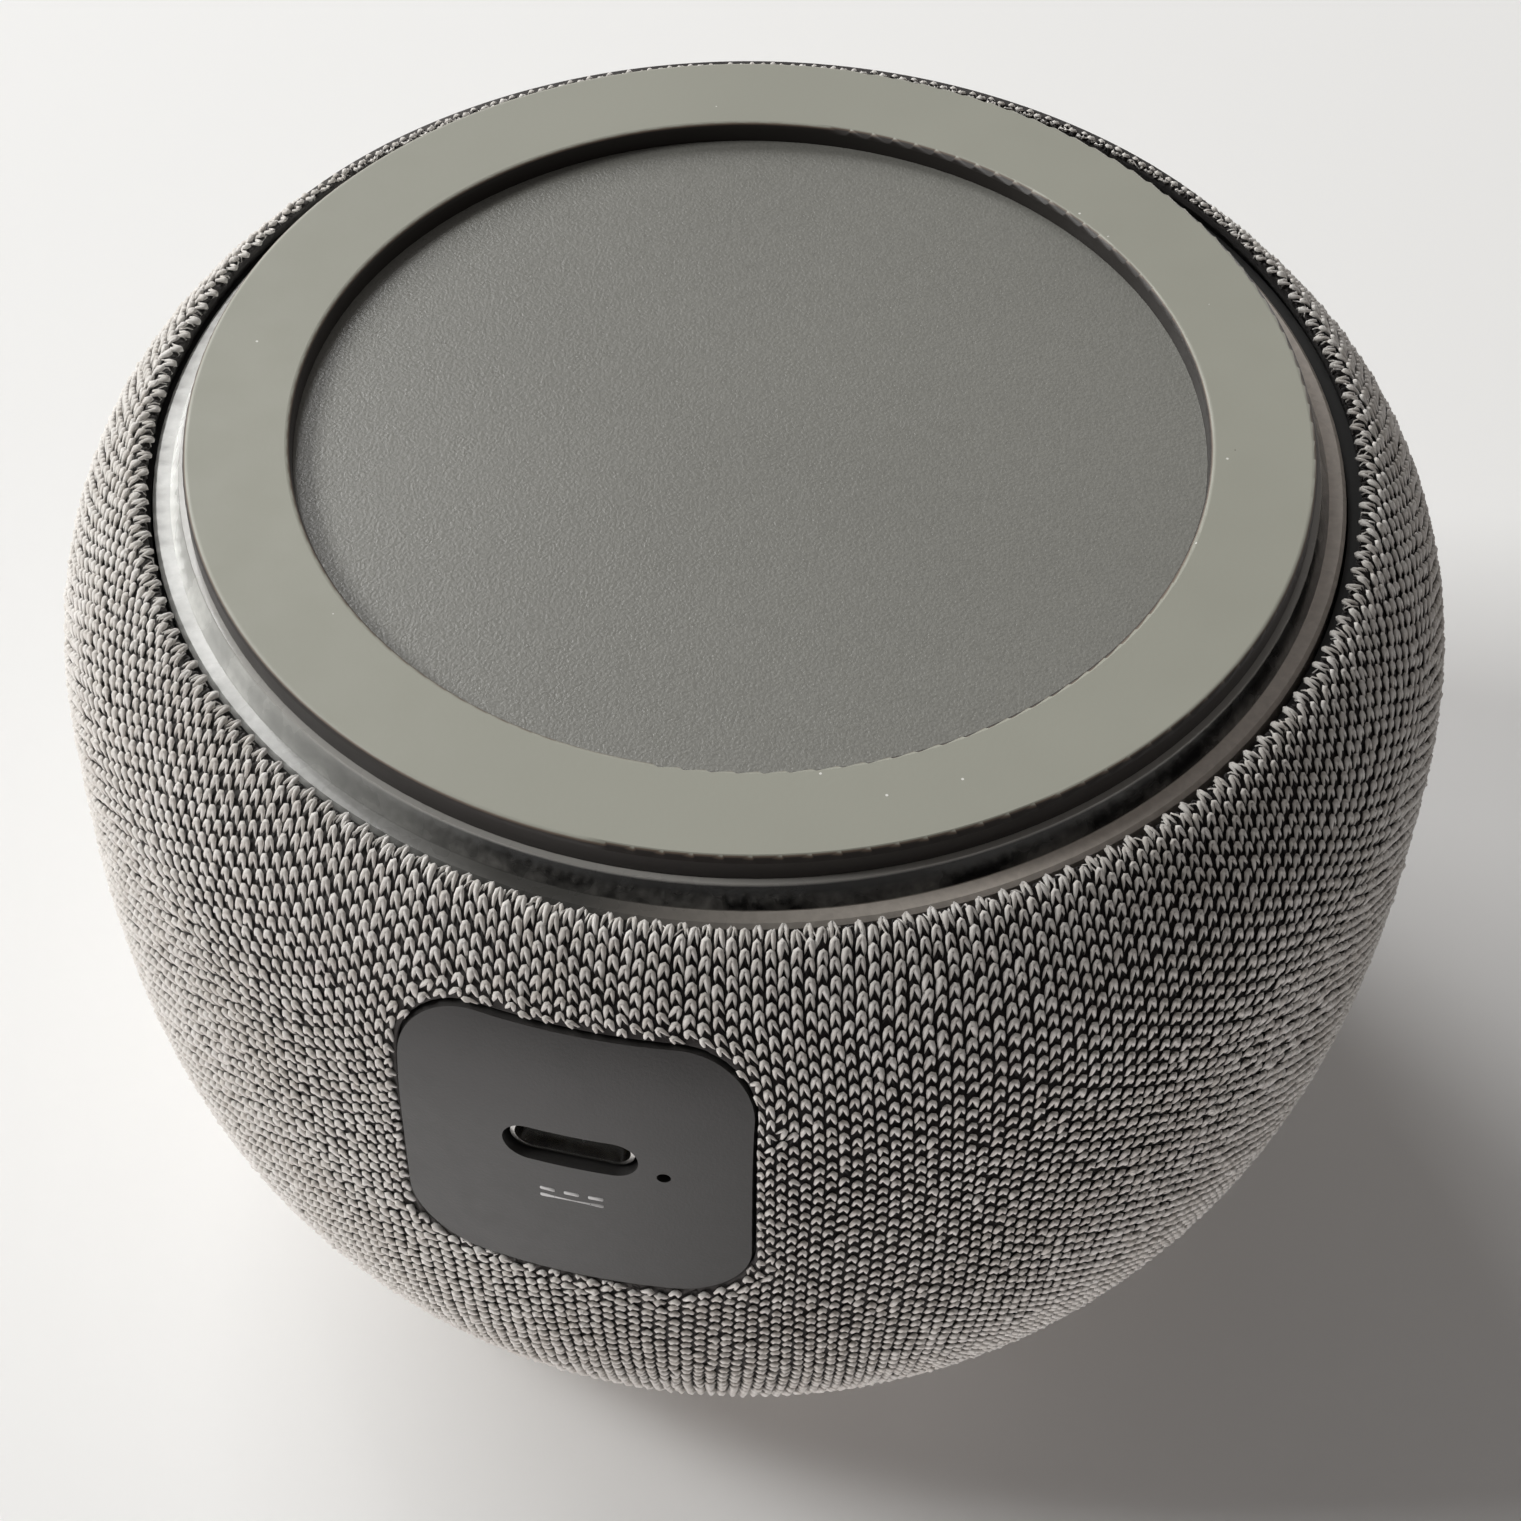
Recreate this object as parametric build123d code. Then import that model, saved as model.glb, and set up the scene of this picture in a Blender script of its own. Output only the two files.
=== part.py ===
"""Smart speaker: a squashed, knit-covered round body on a silicone ring foot, with a clear light ring
above the foot, a press-button control panel on top and a USB-C power inlet at the back.

Millimetres. +Z is up, the foot's contact face is at Z = 0, the front faces -Y and the inlet faces +Y.
"""
import os
from math import cos, hypot, radians, sin

from build123d import *

# --------------------------------------------------------------------------- overall shape
BODY_RADIUS = 53.0          # widest point of the knit body
BODY_WIDEST_Z = 22.0        # height of the widest point
HEIGHT = 75.0               # foot face to the rim of the control panel
LOWER_REACH = 30.9          # lower half of the superellipse: half height and exponent
LOWER_POWER = 2.48
UPPER_REACH = 58.7          # upper half of the superellipse
UPPER_POWER = 2.82

KNIT_THICKNESS = 1.5
KNIT_GAP = 0.1              # clearance between the knit and the shell behind it
SHELL_WALL = 2.0
SHELL_OFFSET = KNIT_THICKNESS + KNIT_GAP
PROFILE_STEPS = 26          # points that carry each body curve

FULL_TURN = 360.0
RUNNING_GAP = 0.05          # clearance of a sliding plunger in its bore

# --------------------------------------------------------------------------- foot and bottom cover
FOOT_OUTER_RADIUS = 41.75
FOOT_INNER_RADIUS = 33.85
FOOT_THICKNESS = 2.0
FOOT_EDGE_ROUND = 0.45
COVER_RADIUS = 41.3
COVER_FACE_Z = 1.7          # the smooth plate inside the foot ring
COVER_TOP_Z = 3.9
FOOT_SEAT_CLEARANCE = 0.02
COVER_POST_CIRCLE = 37.6
COVER_POST_RADIUS = 2.0

# --------------------------------------------------------------------------- light ring
GUIDE_OUTER_RADIUS = 44.35   # flange round the foot of the ring's wall
GUIDE_WALL_RADIUS = 43.05
GUIDE_LEDGE_RADIUS = 42.2
GUIDE_LIP_RADIUS = 41.5
GUIDE_INNER_RADIUS = 40.6
GUIDE_BOTTOM_Z = 2.05
GUIDE_FLANGE_Z = 3.9
GUIDE_FLANGE_BEVEL = 0.3
GUIDE_SHOULDER_Z = 4.1
GUIDE_TOP_Z = 7.5
LED_BOARD_INNER = 39.9
LED_BOARD_OUTER = 43.4
LED_BOARD_Z = 8.0
LED_BOARD_THICKNESS = 1.0
LED_COUNT = 12
LED_SIZE = 2.8
LED_HEIGHT = 0.4
LED_CIRCLE = 41.7

# --------------------------------------------------------------------------- base chassis
CHASSIS_RADIUS = 46.2
CHASSIS_BOTTOM_Z = 9.1
CHASSIS_TOP_Z = 11.1
CHASSIS_WINDOW_RADIUS = 18.0
SCREW_SHANK_RADIUS = 1.1
SCREW_HOLE_RADIUS = 1.3
SCREW_HEAD_RADIUS = 1.6
SCREW_HEAD_HEIGHT = 1.1
SCREW_SINK_RADIUS = 1.9
SCREW_SINK_DEPTH = 1.2
DRIVE_RECESS_RADIUS = 0.8
DRIVE_RECESS_DEPTH = 0.6
SHELL_SCREW_CIRCLE = 43.6
SHELL_SCREW_ANGLES = (30.0, 150.0, 210.0, 330.0)
SHELL_BOSS_WIDTH = 5.2
SHELL_BOSS_REACH = 49.6
SHELL_BOSS_TOP_Z = 16.5
DIAGONAL_ANGLES = (45.0, 135.0, 225.0, 315.0)
SQUARE_ANGLES = (0.0, 90.0, 180.0, 270.0)

# --------------------------------------------------------------------------- outer shell
SHELL_BOTTOM_Z = 5.1
SHELL_LOWER_BORE = 44.6
SHELL_LOWER_BORE_TOP_Z = 9.0
PANEL_BORE_RADIUS = 34.7
KNIT_PANEL_BORE = 34.8
KNIT_BOTTOM_Z = 3.1
KNIT_BOTTOM_BORE = 44.9
KNIT_HEM_ROUND = 0.5
SOUND_HOLE_RADIUS = 1.5
SOUND_HOLE_ROWS = 4
SOUND_HOLE_COLUMNS = 36
SOUND_HOLE_FIRST_Z = 46.0
SOUND_HOLE_ROW_STEP = 4.2

# --------------------------------------------------------------------------- rear port plate
PLATE_WIDTH = 25.2
PLATE_BOTTOM_Z = 9.75
PLATE_TOP_Z = 36.4
PLATE_CORNER_RADIUS = 5.6
PLATE_SINK = 0.25           # how far the plate's face lies under the knit's
PLATE_SEAT_GAP = 0.02
KNIT_PLATE_GAP = 0.6
PORT_Z = 20.35
SLOT_WIDTH = 9.7
SLOT_HEIGHT = 3.65
PIN_X = 6.6
PIN_Z = 21.75
PIN_HOLE_RADIUS = 0.5
PORT_WINDOW = (-7.0, 9.8, 17.4, 24.4)   # low x, high x, low z, high z of the hole in the shell
USB_WIDTH = 8.94
USB_HEIGHT = 3.26
USB_DEPTH = 7.35
USB_WALL = 0.31
USB_RECESS = 0.9
USB_TONGUE_WIDTH = 6.69
USB_TONGUE_HEIGHT = 0.7
USB_TONGUE_LENGTH = 5.0
USB_CONTACT_COUNT = 12
USB_CONTACT_PITCH = 0.5
USB_CONTACT_SIZE = (0.25, 3.6, 0.06)

# --------------------------------------------------------------------------- main board
BOARD_RADIUS = 33.0
BOARD_THICKNESS = 1.6
BOARD_TOP_Z = PORT_Z - USB_HEIGHT / 2
BOARD_BOTTOM_Z = BOARD_TOP_Z - BOARD_THICKNESS
BOARD_TAB_WIDTH = 24.0
BOARD_TAB_END = 46.5
BOARD_SCREW_CIRCLE = 27.0
BOARD_POST_RADIUS = 3.0
SHIELD_BOX = (24.0, 18.0, 2.2)
SHIELD_AT = (-6.0, 5.0)
SHIELD_WALL = 0.3
CHIPS = ((12.0, 6.0, 9.0, 9.0, 1.0), (14.0, -8.0, 7.0, 7.0, 1.2), (-4.0, -14.0, 10.0, 6.0, 1.4),
         (-18.0, -10.0, 5.0, 5.0, 1.6), (10.0, 24.0, 4.0, 6.0, 1.5), (-9.0, 27.0, 6.0, 4.0, 1.8))
CAPACITORS = ((4.0, -23.0), (11.0, -20.5), (-9.0, 37.0))
CAPACITOR_RADIUS = 3.0
CAPACITOR_HEIGHT = 5.2
RESET_BODY = (4.9, 8.9, 42.2, 46.0, 4.4)     # low x, high x, low y, high y, height
RESET_PLUNGER_RADIUS = 0.8
RESET_PLUNGER_FROM_Y = 44.7
RESET_PLUNGER_TO_Y = 47.2
RESET_BORE_FROM_Y = 44.2

# --------------------------------------------------------------------------- acoustic chamber
TUB_RADIUS = 39.6
TUB_BOTTOM_Z = 25.0
TUB_WALL = 2.0
BAFFLE_Z = 50.0
BAFFLE_THICKNESS = 2.5
BAFFLE_RADIUS = 42.0
BAFFLE_HOLE_RADIUS = 23.4
TUB_POST_CIRCLE = 36.4
TUB_POST_RADIUS = 2.8
LEAD_X = 29.5
GROMMET_RADIUS = 3.4
GROMMET_BORE = 2.3
GROMMET_FLANGE_RADIUS = 4.2
GROMMET_FLANGE = 0.8
LEAD_RADIUS = 0.6
LEAD_SPREAD = 1.2
LEAD_ROUTE = ((20.7, 44.0), (26.0, 42.5), (29.5, 35.5), (29.5, 22.4))
LEAD_BENDS = (3.0, 5.0)
LEAD_CONNECTOR = (27.0, 32.0, 7.0, 3.6)      # low x, high x, width, height

# --------------------------------------------------------------------------- loudspeaker driver
FLANGE_Z = 53.1
FLANGE_THICKNESS = 1.2
FLANGE_RADIUS = 28.6
GASKET_INNER = 23.6
GASKET_OUTER = 28.3
BASKET_FOOT_Z = 40.0
BASKET_FOOT_RADIUS = 16.4
BASKET_HOLE_RADIUS = 9.0
BASKET_WALL = 1.6
BASKET_WINDOW_ARC = 58.0
BASKET_WINDOW_Z = (43.4, 51.0)
DRIVER_SCREW_CIRCLE = 26.6
TERMINAL_BLOCK = (17.4, 20.6, 6.0, 43.2, 44.8)   # low x, high x, width, low z, high z
TOP_PLATE_RADIUS = 15.0
TOP_PLATE_BORE = 8.25
TOP_PLATE_Z = 37.0
MAGNET_RADIUS = 16.0
MAGNET_BORE = 9.6
MAGNET_Z = 30.0
YOKE_RADIUS = 15.0
YOKE_Z = 27.4
POLE_RADIUS = 7.0
POLE_VENT_RADIUS = 2.0
COIL_FORMER = (7.35, 7.6, 34.0, 45.6)        # inner and outer radius, low and high z
COIL_WINDING = (7.6, 7.95, 35.5, 41.5)
CONE_NECK = (7.7, 45.0)
CONE_EDGE = (18.2, 53.6)
CONE_THICKNESS = 0.45
CONE_SLANT = 1.4            # height of the slanted wall over its thickness
CONE_LIP_RADIUS = 19.4
DUST_CAP_RADIUS = 9.4
DUST_CAP_Z = 47.1
DUST_CAP_RISE = 3.0
DUST_CAP_THICKNESS = 0.4
ROLL_CENTRE_RADIUS = 20.9
ROLL_RADIUS = 1.7
ROLL_THICKNESS = 0.5
ROLL_Z = FLANGE_Z + FLANGE_THICKNESS + 0.03
ROLL_INNER_LIP = 18.2
ROLL_OUTER_LIP = 24.4
SPIDER_RADII = (8.05, 15.3)
SPIDER_Z = 42.1
SPIDER_THICKNESS = 0.35
SPIDER_WAVE = 0.5
SPIDER_FOLDS = 4

# --------------------------------------------------------------------------- top tray and controls
TRAY_Z = 62.5
TRAY_THICKNESS = 2.0
TRAY_RADIUS = 39.0
TRAY_PILLAR_CIRCLE = 36.6
TRAY_PILLAR_RADIUS = 2.3
TRAY_STANDOFF_CIRCLE = 13.0
TRAY_STANDOFF_RADIUS = 2.2
DEFLECTOR_RADIUS = 22.0
DEFLECTOR_TIP_Z = 57.6
DEFLECTOR_TIP_RADIUS = 1.0
DEFLECTOR_FLANK = ((3.4, 59.1), (8.4, 60.6), (14.6, 61.6))   # radii and heights down its hollow flank
DEFLECTOR_RIM = 0.4
BUTTON_BOARD_Z = 66.5
BUTTON_BOARD_THICKNESS = 1.2
BUTTON_BOARD_RADIUS = 31.5
BUTTON_CIRCLE = 20.0
BUTTON_RADIUS = 6.3
BUTTON_GAP = 0.3
BUTTON_TOP_Z = 74.7
BUTTON_FLANGE_RADIUS = 7.4
BUTTON_FLANGE_Z = (70.9, 71.5)
BUTTON_STEM_RADIUS = 1.5
BUTTON_EDGE_ROUND = 0.4
SWITCH_SIZE = 6.0
SWITCH_HEIGHT = 1.6
SWITCH_BORE_DEPTH = 0.9
SWITCH_PLUNGER_RADIUS = 1.6
SWITCH_PLUNGER_Z = (68.9, 69.9)
BUTTONS = {"action": 0.0, "volume_up": 90.0, "mic_mute": 180.0, "volume_down": 270.0}
MIC_CIRCLE = 28.2
MIC_SIZE = (3.5, 2.65, 1.0)
MIC_GASKET_RADIUS = 2.0
MIC_HOLE_RADIUS = 0.6
PANEL_RADIUS = 34.3
PANEL_SKIRT_INNER = 32.4
PANEL_UNDERSIDE_Z = 71.8
PANEL_RIM_INNER = 32.8
PANEL_CENTRE_Z = 73.9
PANEL_EDGE_ROUND = 0.6
RIBBON_WIDTH = 8.0
RIBBON_THICKNESS = 0.3
RIBBON_ROUTE = ((-28.5, 65.0), (-28.5, 57.5), (-43.1, 57.5), (-43.1, 20.0), (-33.0, 20.0))
RIBBON_BEND = 2.5
RIBBON_CONNECTOR = (5.0, 11.0)               # length along the ribbon and width
RIBBON_SLOT_MARGIN = 1.0


# --------------------------------------------------------------------------- helpers
def body_radius(z):
    """Radius of the knit's outer face at height z: two superellipse halves joined at the widest point."""
    reach, power = (LOWER_REACH, LOWER_POWER) if z < BODY_WIDEST_Z else (UPPER_REACH, UPPER_POWER)
    share = abs(z - BODY_WIDEST_Z) / reach
    return BODY_RADIUS * (1 - share ** power) ** (1 / power)


def body_curve(inset, low_z, high_z):
    """Points (radius, z) of the body's outline moved in by inset, from low_z to high_z on the outer face."""
    points = []
    step = 0.01
    for i in range(PROFILE_STEPS + 1):
        z = low_z + (high_z - low_z) * i / PROFILE_STEPS
        slope = (body_radius(z + step) - body_radius(z - step)) / (2 * step)
        length = hypot(1, slope)
        points.append((body_radius(z) - inset / length, z + inset * slope / length))
    return points


def turned(face):
    """Revolve a face drawn in the (radius, z) half plane about the Z axis."""
    return revolve(Plane.XZ * face, Axis.Z, FULL_TURN)


def turned_outline(*points):
    return turned(make_face(Polyline(*points, close=True)))


def disc(radius, low_z, high_z):
    return Pos(0, 0, low_z) * extrude(Circle(radius), high_z - low_z)


def ring(inner, outer, low_z, high_z):
    return Pos(0, 0, low_z) * extrude(Circle(outer) - Circle(inner), high_z - low_z)


def block(low_x, high_x, low_y, high_y, low_z, high_z):
    centre = Pos((low_x + high_x) / 2, (low_y + high_y) / 2, (low_z + high_z) / 2)
    return centre * Box(high_x - low_x, high_y - low_y, high_z - low_z)


def around(angles, radius, solid):
    """Copies of a solid placed at a radius, one for each angle, turned to face outwards."""
    return [Rot(0, 0, angle) * Pos(radius, 0, 0) * solid for angle in angles]


def screw(head_top_z, tip_z, up=True):
    """Pan-head screw on the Z axis. Its head is at head_top_z, or below the shank if up is False."""
    way = 1 if up else -1
    seat_z = head_top_z - way * SCREW_HEAD_HEIGHT
    head = disc(SCREW_HEAD_RADIUS, min(seat_z, head_top_z), max(seat_z, head_top_z))
    shank = disc(SCREW_SHANK_RADIUS, min(seat_z, tip_z), max(seat_z, tip_z))
    recess_z = head_top_z - way * DRIVE_RECESS_DEPTH
    recess = disc(DRIVE_RECESS_RADIUS, min(recess_z, head_top_z), max(recess_z, head_top_z))
    return head + shank - recess


def screw_hole(low_z, high_z):
    return disc(SCREW_HOLE_RADIUS, low_z, high_z)


def plate_outline(margin):
    """Prism along Y through the rear wall with the port plate's rounded outline, grown by margin."""
    width = PLATE_WIDTH + 2 * margin
    height = PLATE_TOP_Z - PLATE_BOTTOM_Z + 2 * margin
    outline = RectangleRounded(width, height, PLATE_CORNER_RADIUS + margin)
    centre = (0, BODY_RADIUS / 2, (PLATE_TOP_Z + PLATE_BOTTOM_Z) / 2)
    return extrude(Plane(origin=centre, x_dir=(1, 0, 0), z_dir=(0, 1, 0)) * outline, BODY_RADIUS)


def rounded_bar(width, height, from_y, to_y, z):
    """Bar along Y with a stadium section, as a USB-C shell or its slot has."""
    at = Plane(origin=(0, from_y, z), x_dir=(1, 0, 0), z_dir=(0, 1, 0))
    return extrude(at * SlotOverall(width, height), to_y - from_y)


def rear_pin(radius, x, z, from_y, to_y):
    at = Plane(origin=(x, from_y, z), x_dir=(1, 0, 0), z_dir=(0, 1, 0))
    return extrude(at * Circle(radius), to_y - from_y)


def body_layer(outer_inset, inner_inset, low_z):
    """Revolved wall between two insets of the body's outline, cut off flat below low_z."""
    base_z = low_z - UPPER_REACH / PROFILE_STEPS
    crown_z = BODY_WIDEST_Z + UPPER_REACH * 0.97
    outer = body_curve(outer_inset, base_z, crown_z)
    inner = body_curve(inner_inset, base_z, crown_z)
    outline = [Spline(*outer), Line(outer[-1], inner[-1]), Spline(*inner), Line(inner[0], outer[0])]
    return turned(make_face(outline)) - disc(BODY_RADIUS, low_z - LOWER_REACH, low_z)


# --------------------------------------------------------------------------- foot, cover, light ring
def make_foot_ring():
    outline = Polyline((FOOT_INNER_RADIUS, 0), (FOOT_OUTER_RADIUS, 0), (FOOT_OUTER_RADIUS, FOOT_THICKNESS),
                       (FOOT_INNER_RADIUS, FOOT_THICKNESS), close=True)
    face = make_face(outline)
    contact_corners = [v for v in face.vertices() if v.Y < FOOT_THICKNESS / 2]
    return turned(fillet(contact_corners, FOOT_EDGE_ROUND))


def make_bottom_cover():
    seat_z = FOOT_THICKNESS + FOOT_SEAT_CLEARANCE
    cover = disc(COVER_RADIUS, COVER_FACE_Z, COVER_TOP_Z)
    cover -= ring(FOOT_INNER_RADIUS - FOOT_SEAT_CLEARANCE, COVER_RADIUS + 1, 0, seat_z)
    post = disc(COVER_POST_RADIUS, COVER_TOP_Z, CHASSIS_BOTTOM_Z)
    sink = disc(SCREW_SINK_RADIUS, 0, seat_z + SCREW_SINK_DEPTH)
    for solid in around(SQUARE_ANGLES, COVER_POST_CIRCLE, post):
        cover += solid
    for solid in around(SQUARE_ANGLES, COVER_POST_CIRCLE, sink + screw_hole(0, CHASSIS_TOP_Z)):
        cover -= solid
    return cover


def make_bottom_screws():
    head_z = FOOT_THICKNESS + FOOT_SEAT_CLEARANCE + SCREW_SINK_DEPTH - SCREW_HEAD_HEIGHT
    return around(SQUARE_ANGLES, COVER_POST_CIRCLE, screw(head_z, CHASSIS_TOP_Z, up=False))


def make_light_ring():
    bevel_radius = GUIDE_OUTER_RADIUS - GUIDE_FLANGE_BEVEL
    bevel_z = GUIDE_FLANGE_Z + GUIDE_FLANGE_BEVEL
    return turned_outline((GUIDE_LIP_RADIUS, GUIDE_BOTTOM_Z), (GUIDE_LEDGE_RADIUS, GUIDE_BOTTOM_Z),
                          (GUIDE_WALL_RADIUS, GUIDE_FLANGE_Z), (bevel_radius, GUIDE_FLANGE_Z),
                          (GUIDE_OUTER_RADIUS, bevel_z), (GUIDE_OUTER_RADIUS, GUIDE_TOP_Z),
                          (GUIDE_INNER_RADIUS, GUIDE_TOP_Z), (GUIDE_INNER_RADIUS, GUIDE_SHOULDER_Z),
                          (GUIDE_LIP_RADIUS, GUIDE_SHOULDER_Z))


def make_led_board():
    return ring(LED_BOARD_INNER, LED_BOARD_OUTER, LED_BOARD_Z, LED_BOARD_Z + LED_BOARD_THICKNESS)


def make_ring_leds():
    half = LED_SIZE / 2
    led = block(-half, half, -half, half, LED_BOARD_Z - LED_HEIGHT, LED_BOARD_Z)
    angles = [FULL_TURN * i / LED_COUNT for i in range(LED_COUNT)]
    return around(angles, LED_CIRCLE, led)


# --------------------------------------------------------------------------- chassis and shell
def make_base_chassis():
    chassis = ring(CHASSIS_WINDOW_RADIUS, CHASSIS_RADIUS, CHASSIS_BOTTOM_Z, CHASSIS_TOP_Z)
    post = disc(BOARD_POST_RADIUS, CHASSIS_TOP_Z, BOARD_BOTTOM_Z)
    for solid in around(DIAGONAL_ANGLES, BOARD_SCREW_CIRCLE, post):
        chassis += solid
    hole = screw_hole(0, BOARD_BOTTOM_Z)
    sunk_hole = hole + disc(SCREW_SINK_RADIUS, 0, CHASSIS_BOTTOM_Z + SCREW_SINK_DEPTH)
    cuts = around(SHELL_SCREW_ANGLES, SHELL_SCREW_CIRCLE, sunk_hole)
    cuts += around(DIAGONAL_ANGLES, TUB_POST_CIRCLE, sunk_hole)
    cuts += around(SQUARE_ANGLES, COVER_POST_CIRCLE, hole)
    cuts += around(DIAGONAL_ANGLES, BOARD_SCREW_CIRCLE, hole)
    for solid in cuts:
        chassis -= solid
    return chassis


def make_chassis_screws():
    head_z = CHASSIS_BOTTOM_Z + SCREW_SINK_DEPTH - SCREW_HEAD_HEIGHT
    to_shell = screw(head_z, SHELL_BOSS_TOP_Z - 1, up=False)
    to_tub = screw(head_z, TUB_BOTTOM_Z - 1, up=False)
    screws = around(SHELL_SCREW_ANGLES, SHELL_SCREW_CIRCLE, to_shell)
    return screws + around(DIAGONAL_ANGLES, TUB_POST_CIRCLE, to_tub)


def make_grille_shell():
    shell = body_layer(SHELL_OFFSET, SHELL_OFFSET + SHELL_WALL, SHELL_BOTTOM_Z)
    shell -= disc(PANEL_BORE_RADIUS, TRAY_Z, HEIGHT + UPPER_REACH)
    shell -= disc(SHELL_LOWER_BORE, 0, SHELL_LOWER_BORE_TOP_Z)
    half = SHELL_BOSS_WIDTH / 2
    boss = disc(half, CHASSIS_TOP_Z, SHELL_BOSS_TOP_Z)
    boss += block(0, SHELL_BOSS_REACH - SHELL_SCREW_CIRCLE, -half, half, CHASSIS_TOP_Z, SHELL_BOSS_TOP_Z)
    boss -= screw_hole(CHASSIS_TOP_Z, SHELL_BOSS_TOP_Z)
    for solid in around(SHELL_SCREW_ANGLES, SHELL_SCREW_CIRCLE, boss):
        shell += solid
    low_x, high_x, low_z, high_z = PORT_WINDOW
    shell -= block(low_x, high_x, BODY_RADIUS / 2, BODY_RADIUS + 1, low_z, high_z)
    holes = []
    for row in range(SOUND_HOLE_ROWS):
        z = SOUND_HOLE_FIRST_Z + SOUND_HOLE_ROW_STEP * row
        shift = row % 2 / 2
        for column in range(SOUND_HOLE_COLUMNS):
            angle = FULL_TURN * (column + shift) / SOUND_HOLE_COLUMNS
            outwards = Plane(origin=(TUB_RADIUS, 0, z), x_dir=(0, 1, 0), z_dir=(1, 0, 0))
            bore = extrude(outwards * Circle(SOUND_HOLE_RADIUS), BODY_RADIUS - TUB_RADIUS)
            holes.append(Rot(0, 0, angle) * bore)
    return shell - holes


def make_fabric_sleeve():
    sleeve = body_layer(0, KNIT_THICKNESS, KNIT_BOTTOM_Z)
    crown = disc(KNIT_PANEL_BORE, TRAY_Z, HEIGHT + UPPER_REACH)
    throat = disc(KNIT_BOTTOM_BORE, 0, SHELL_BOTTOM_Z)
    hem_outer = body_radius(KNIT_BOTTOM_Z) - KNIT_HEM_ROUND
    hem = ring(KNIT_BOTTOM_BORE, hem_outer, KNIT_BOTTOM_Z, SHELL_BOTTOM_Z - KNIT_GAP)
    return sleeve + hem - crown - throat - plate_outline(KNIT_PLATE_GAP)


# --------------------------------------------------------------------------- rear port
def make_port_plate():
    plate = body_layer(PLATE_SINK, SHELL_OFFSET - PLATE_SEAT_GAP, KNIT_BOTTOM_Z) & plate_outline(0)
    slot = rounded_bar(SLOT_WIDTH, SLOT_HEIGHT, BODY_RADIUS / 2, BODY_RADIUS + 1, PORT_Z)
    pin_hole = rear_pin(PIN_HOLE_RADIUS, PIN_X, PIN_Z, BODY_RADIUS / 2, BODY_RADIUS + 1)
    return plate - slot - pin_hole


def make_usb_shell():
    mouth_y = BODY_RADIUS - PLATE_SINK - USB_RECESS
    back_y = mouth_y - USB_DEPTH
    outer = rounded_bar(USB_WIDTH, USB_HEIGHT, back_y, mouth_y, PORT_Z)
    inner_size = (USB_WIDTH - 2 * USB_WALL, USB_HEIGHT - 2 * USB_WALL)
    hollow = rounded_bar(*inner_size, back_y + USB_WALL, mouth_y + 1, PORT_Z)
    return outer - hollow


def make_usb_tongue():
    back_y = BODY_RADIUS - PLATE_SINK - USB_RECESS - USB_DEPTH + USB_WALL
    half_width = USB_TONGUE_WIDTH / 2
    half_height = USB_TONGUE_HEIGHT / 2
    tip_y = back_y + USB_TONGUE_LENGTH
    return block(-half_width, half_width, back_y, tip_y, PORT_Z - half_height, PORT_Z + half_height)


def make_usb_contacts():
    width, length, height = USB_CONTACT_SIZE
    back_y = BODY_RADIUS - PLATE_SINK - USB_RECESS - USB_DEPTH + USB_WALL
    contacts = []
    for side in (-1, 1):
        for i in range(USB_CONTACT_COUNT):
            x = USB_CONTACT_PITCH * (i - (USB_CONTACT_COUNT - 1) / 2)
            z = PORT_Z + side * (USB_TONGUE_HEIGHT + height) / 2
            contacts.append(Pos(x, back_y + USB_TONGUE_LENGTH / 2, z) * Box(width, length, height))
    return contacts


# --------------------------------------------------------------------------- main board
def make_main_board():
    board = disc(BOARD_RADIUS, BOARD_BOTTOM_Z, BOARD_TOP_Z)
    half_tab = BOARD_TAB_WIDTH / 2
    board += block(-half_tab, half_tab, 0, BOARD_TAB_END, BOARD_BOTTOM_Z, BOARD_TOP_Z)
    for solid in around(DIAGONAL_ANGLES, BOARD_SCREW_CIRCLE, screw_hole(BOARD_BOTTOM_Z, BOARD_TOP_Z)):
        board -= solid
    return board


def make_board_screws():
    board_screw = screw(BOARD_TOP_Z + SCREW_HEAD_HEIGHT, CHASSIS_TOP_Z + 1)
    return around(DIAGONAL_ANGLES, BOARD_SCREW_CIRCLE, board_screw)


def make_shield_can():
    width, depth, height = SHIELD_BOX
    x, y = SHIELD_AT
    can = Pos(x, y, BOARD_TOP_Z + height / 2) * Box(width, depth, height)
    inside = Pos(x, y, BOARD_TOP_Z + (height - SHIELD_WALL) / 2)
    return can - inside * Box(width - 2 * SHIELD_WALL, depth - 2 * SHIELD_WALL, height - SHIELD_WALL)


def make_board_chips():
    chips = []
    for x, y, width, depth, height in CHIPS:
        chips.append(Pos(x, y, BOARD_TOP_Z + height / 2) * Box(width, depth, height))
    return chips


def make_board_capacitors():
    can = disc(CAPACITOR_RADIUS, BOARD_TOP_Z, BOARD_TOP_Z + CAPACITOR_HEIGHT)
    return [Pos(x, y, 0) * can for x, y in CAPACITORS]


def make_reset_switch():
    low_x, high_x, low_y, high_y, height = RESET_BODY
    body = block(low_x, high_x, low_y, high_y, BOARD_TOP_Z, BOARD_TOP_Z + height)
    return body - rear_pin(RESET_PLUNGER_RADIUS + RUNNING_GAP, PIN_X, PIN_Z, RESET_BORE_FROM_Y, high_y)


def make_reset_plunger():
    return rear_pin(RESET_PLUNGER_RADIUS, PIN_X, PIN_Z, RESET_PLUNGER_FROM_Y, RESET_PLUNGER_TO_Y)


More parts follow.
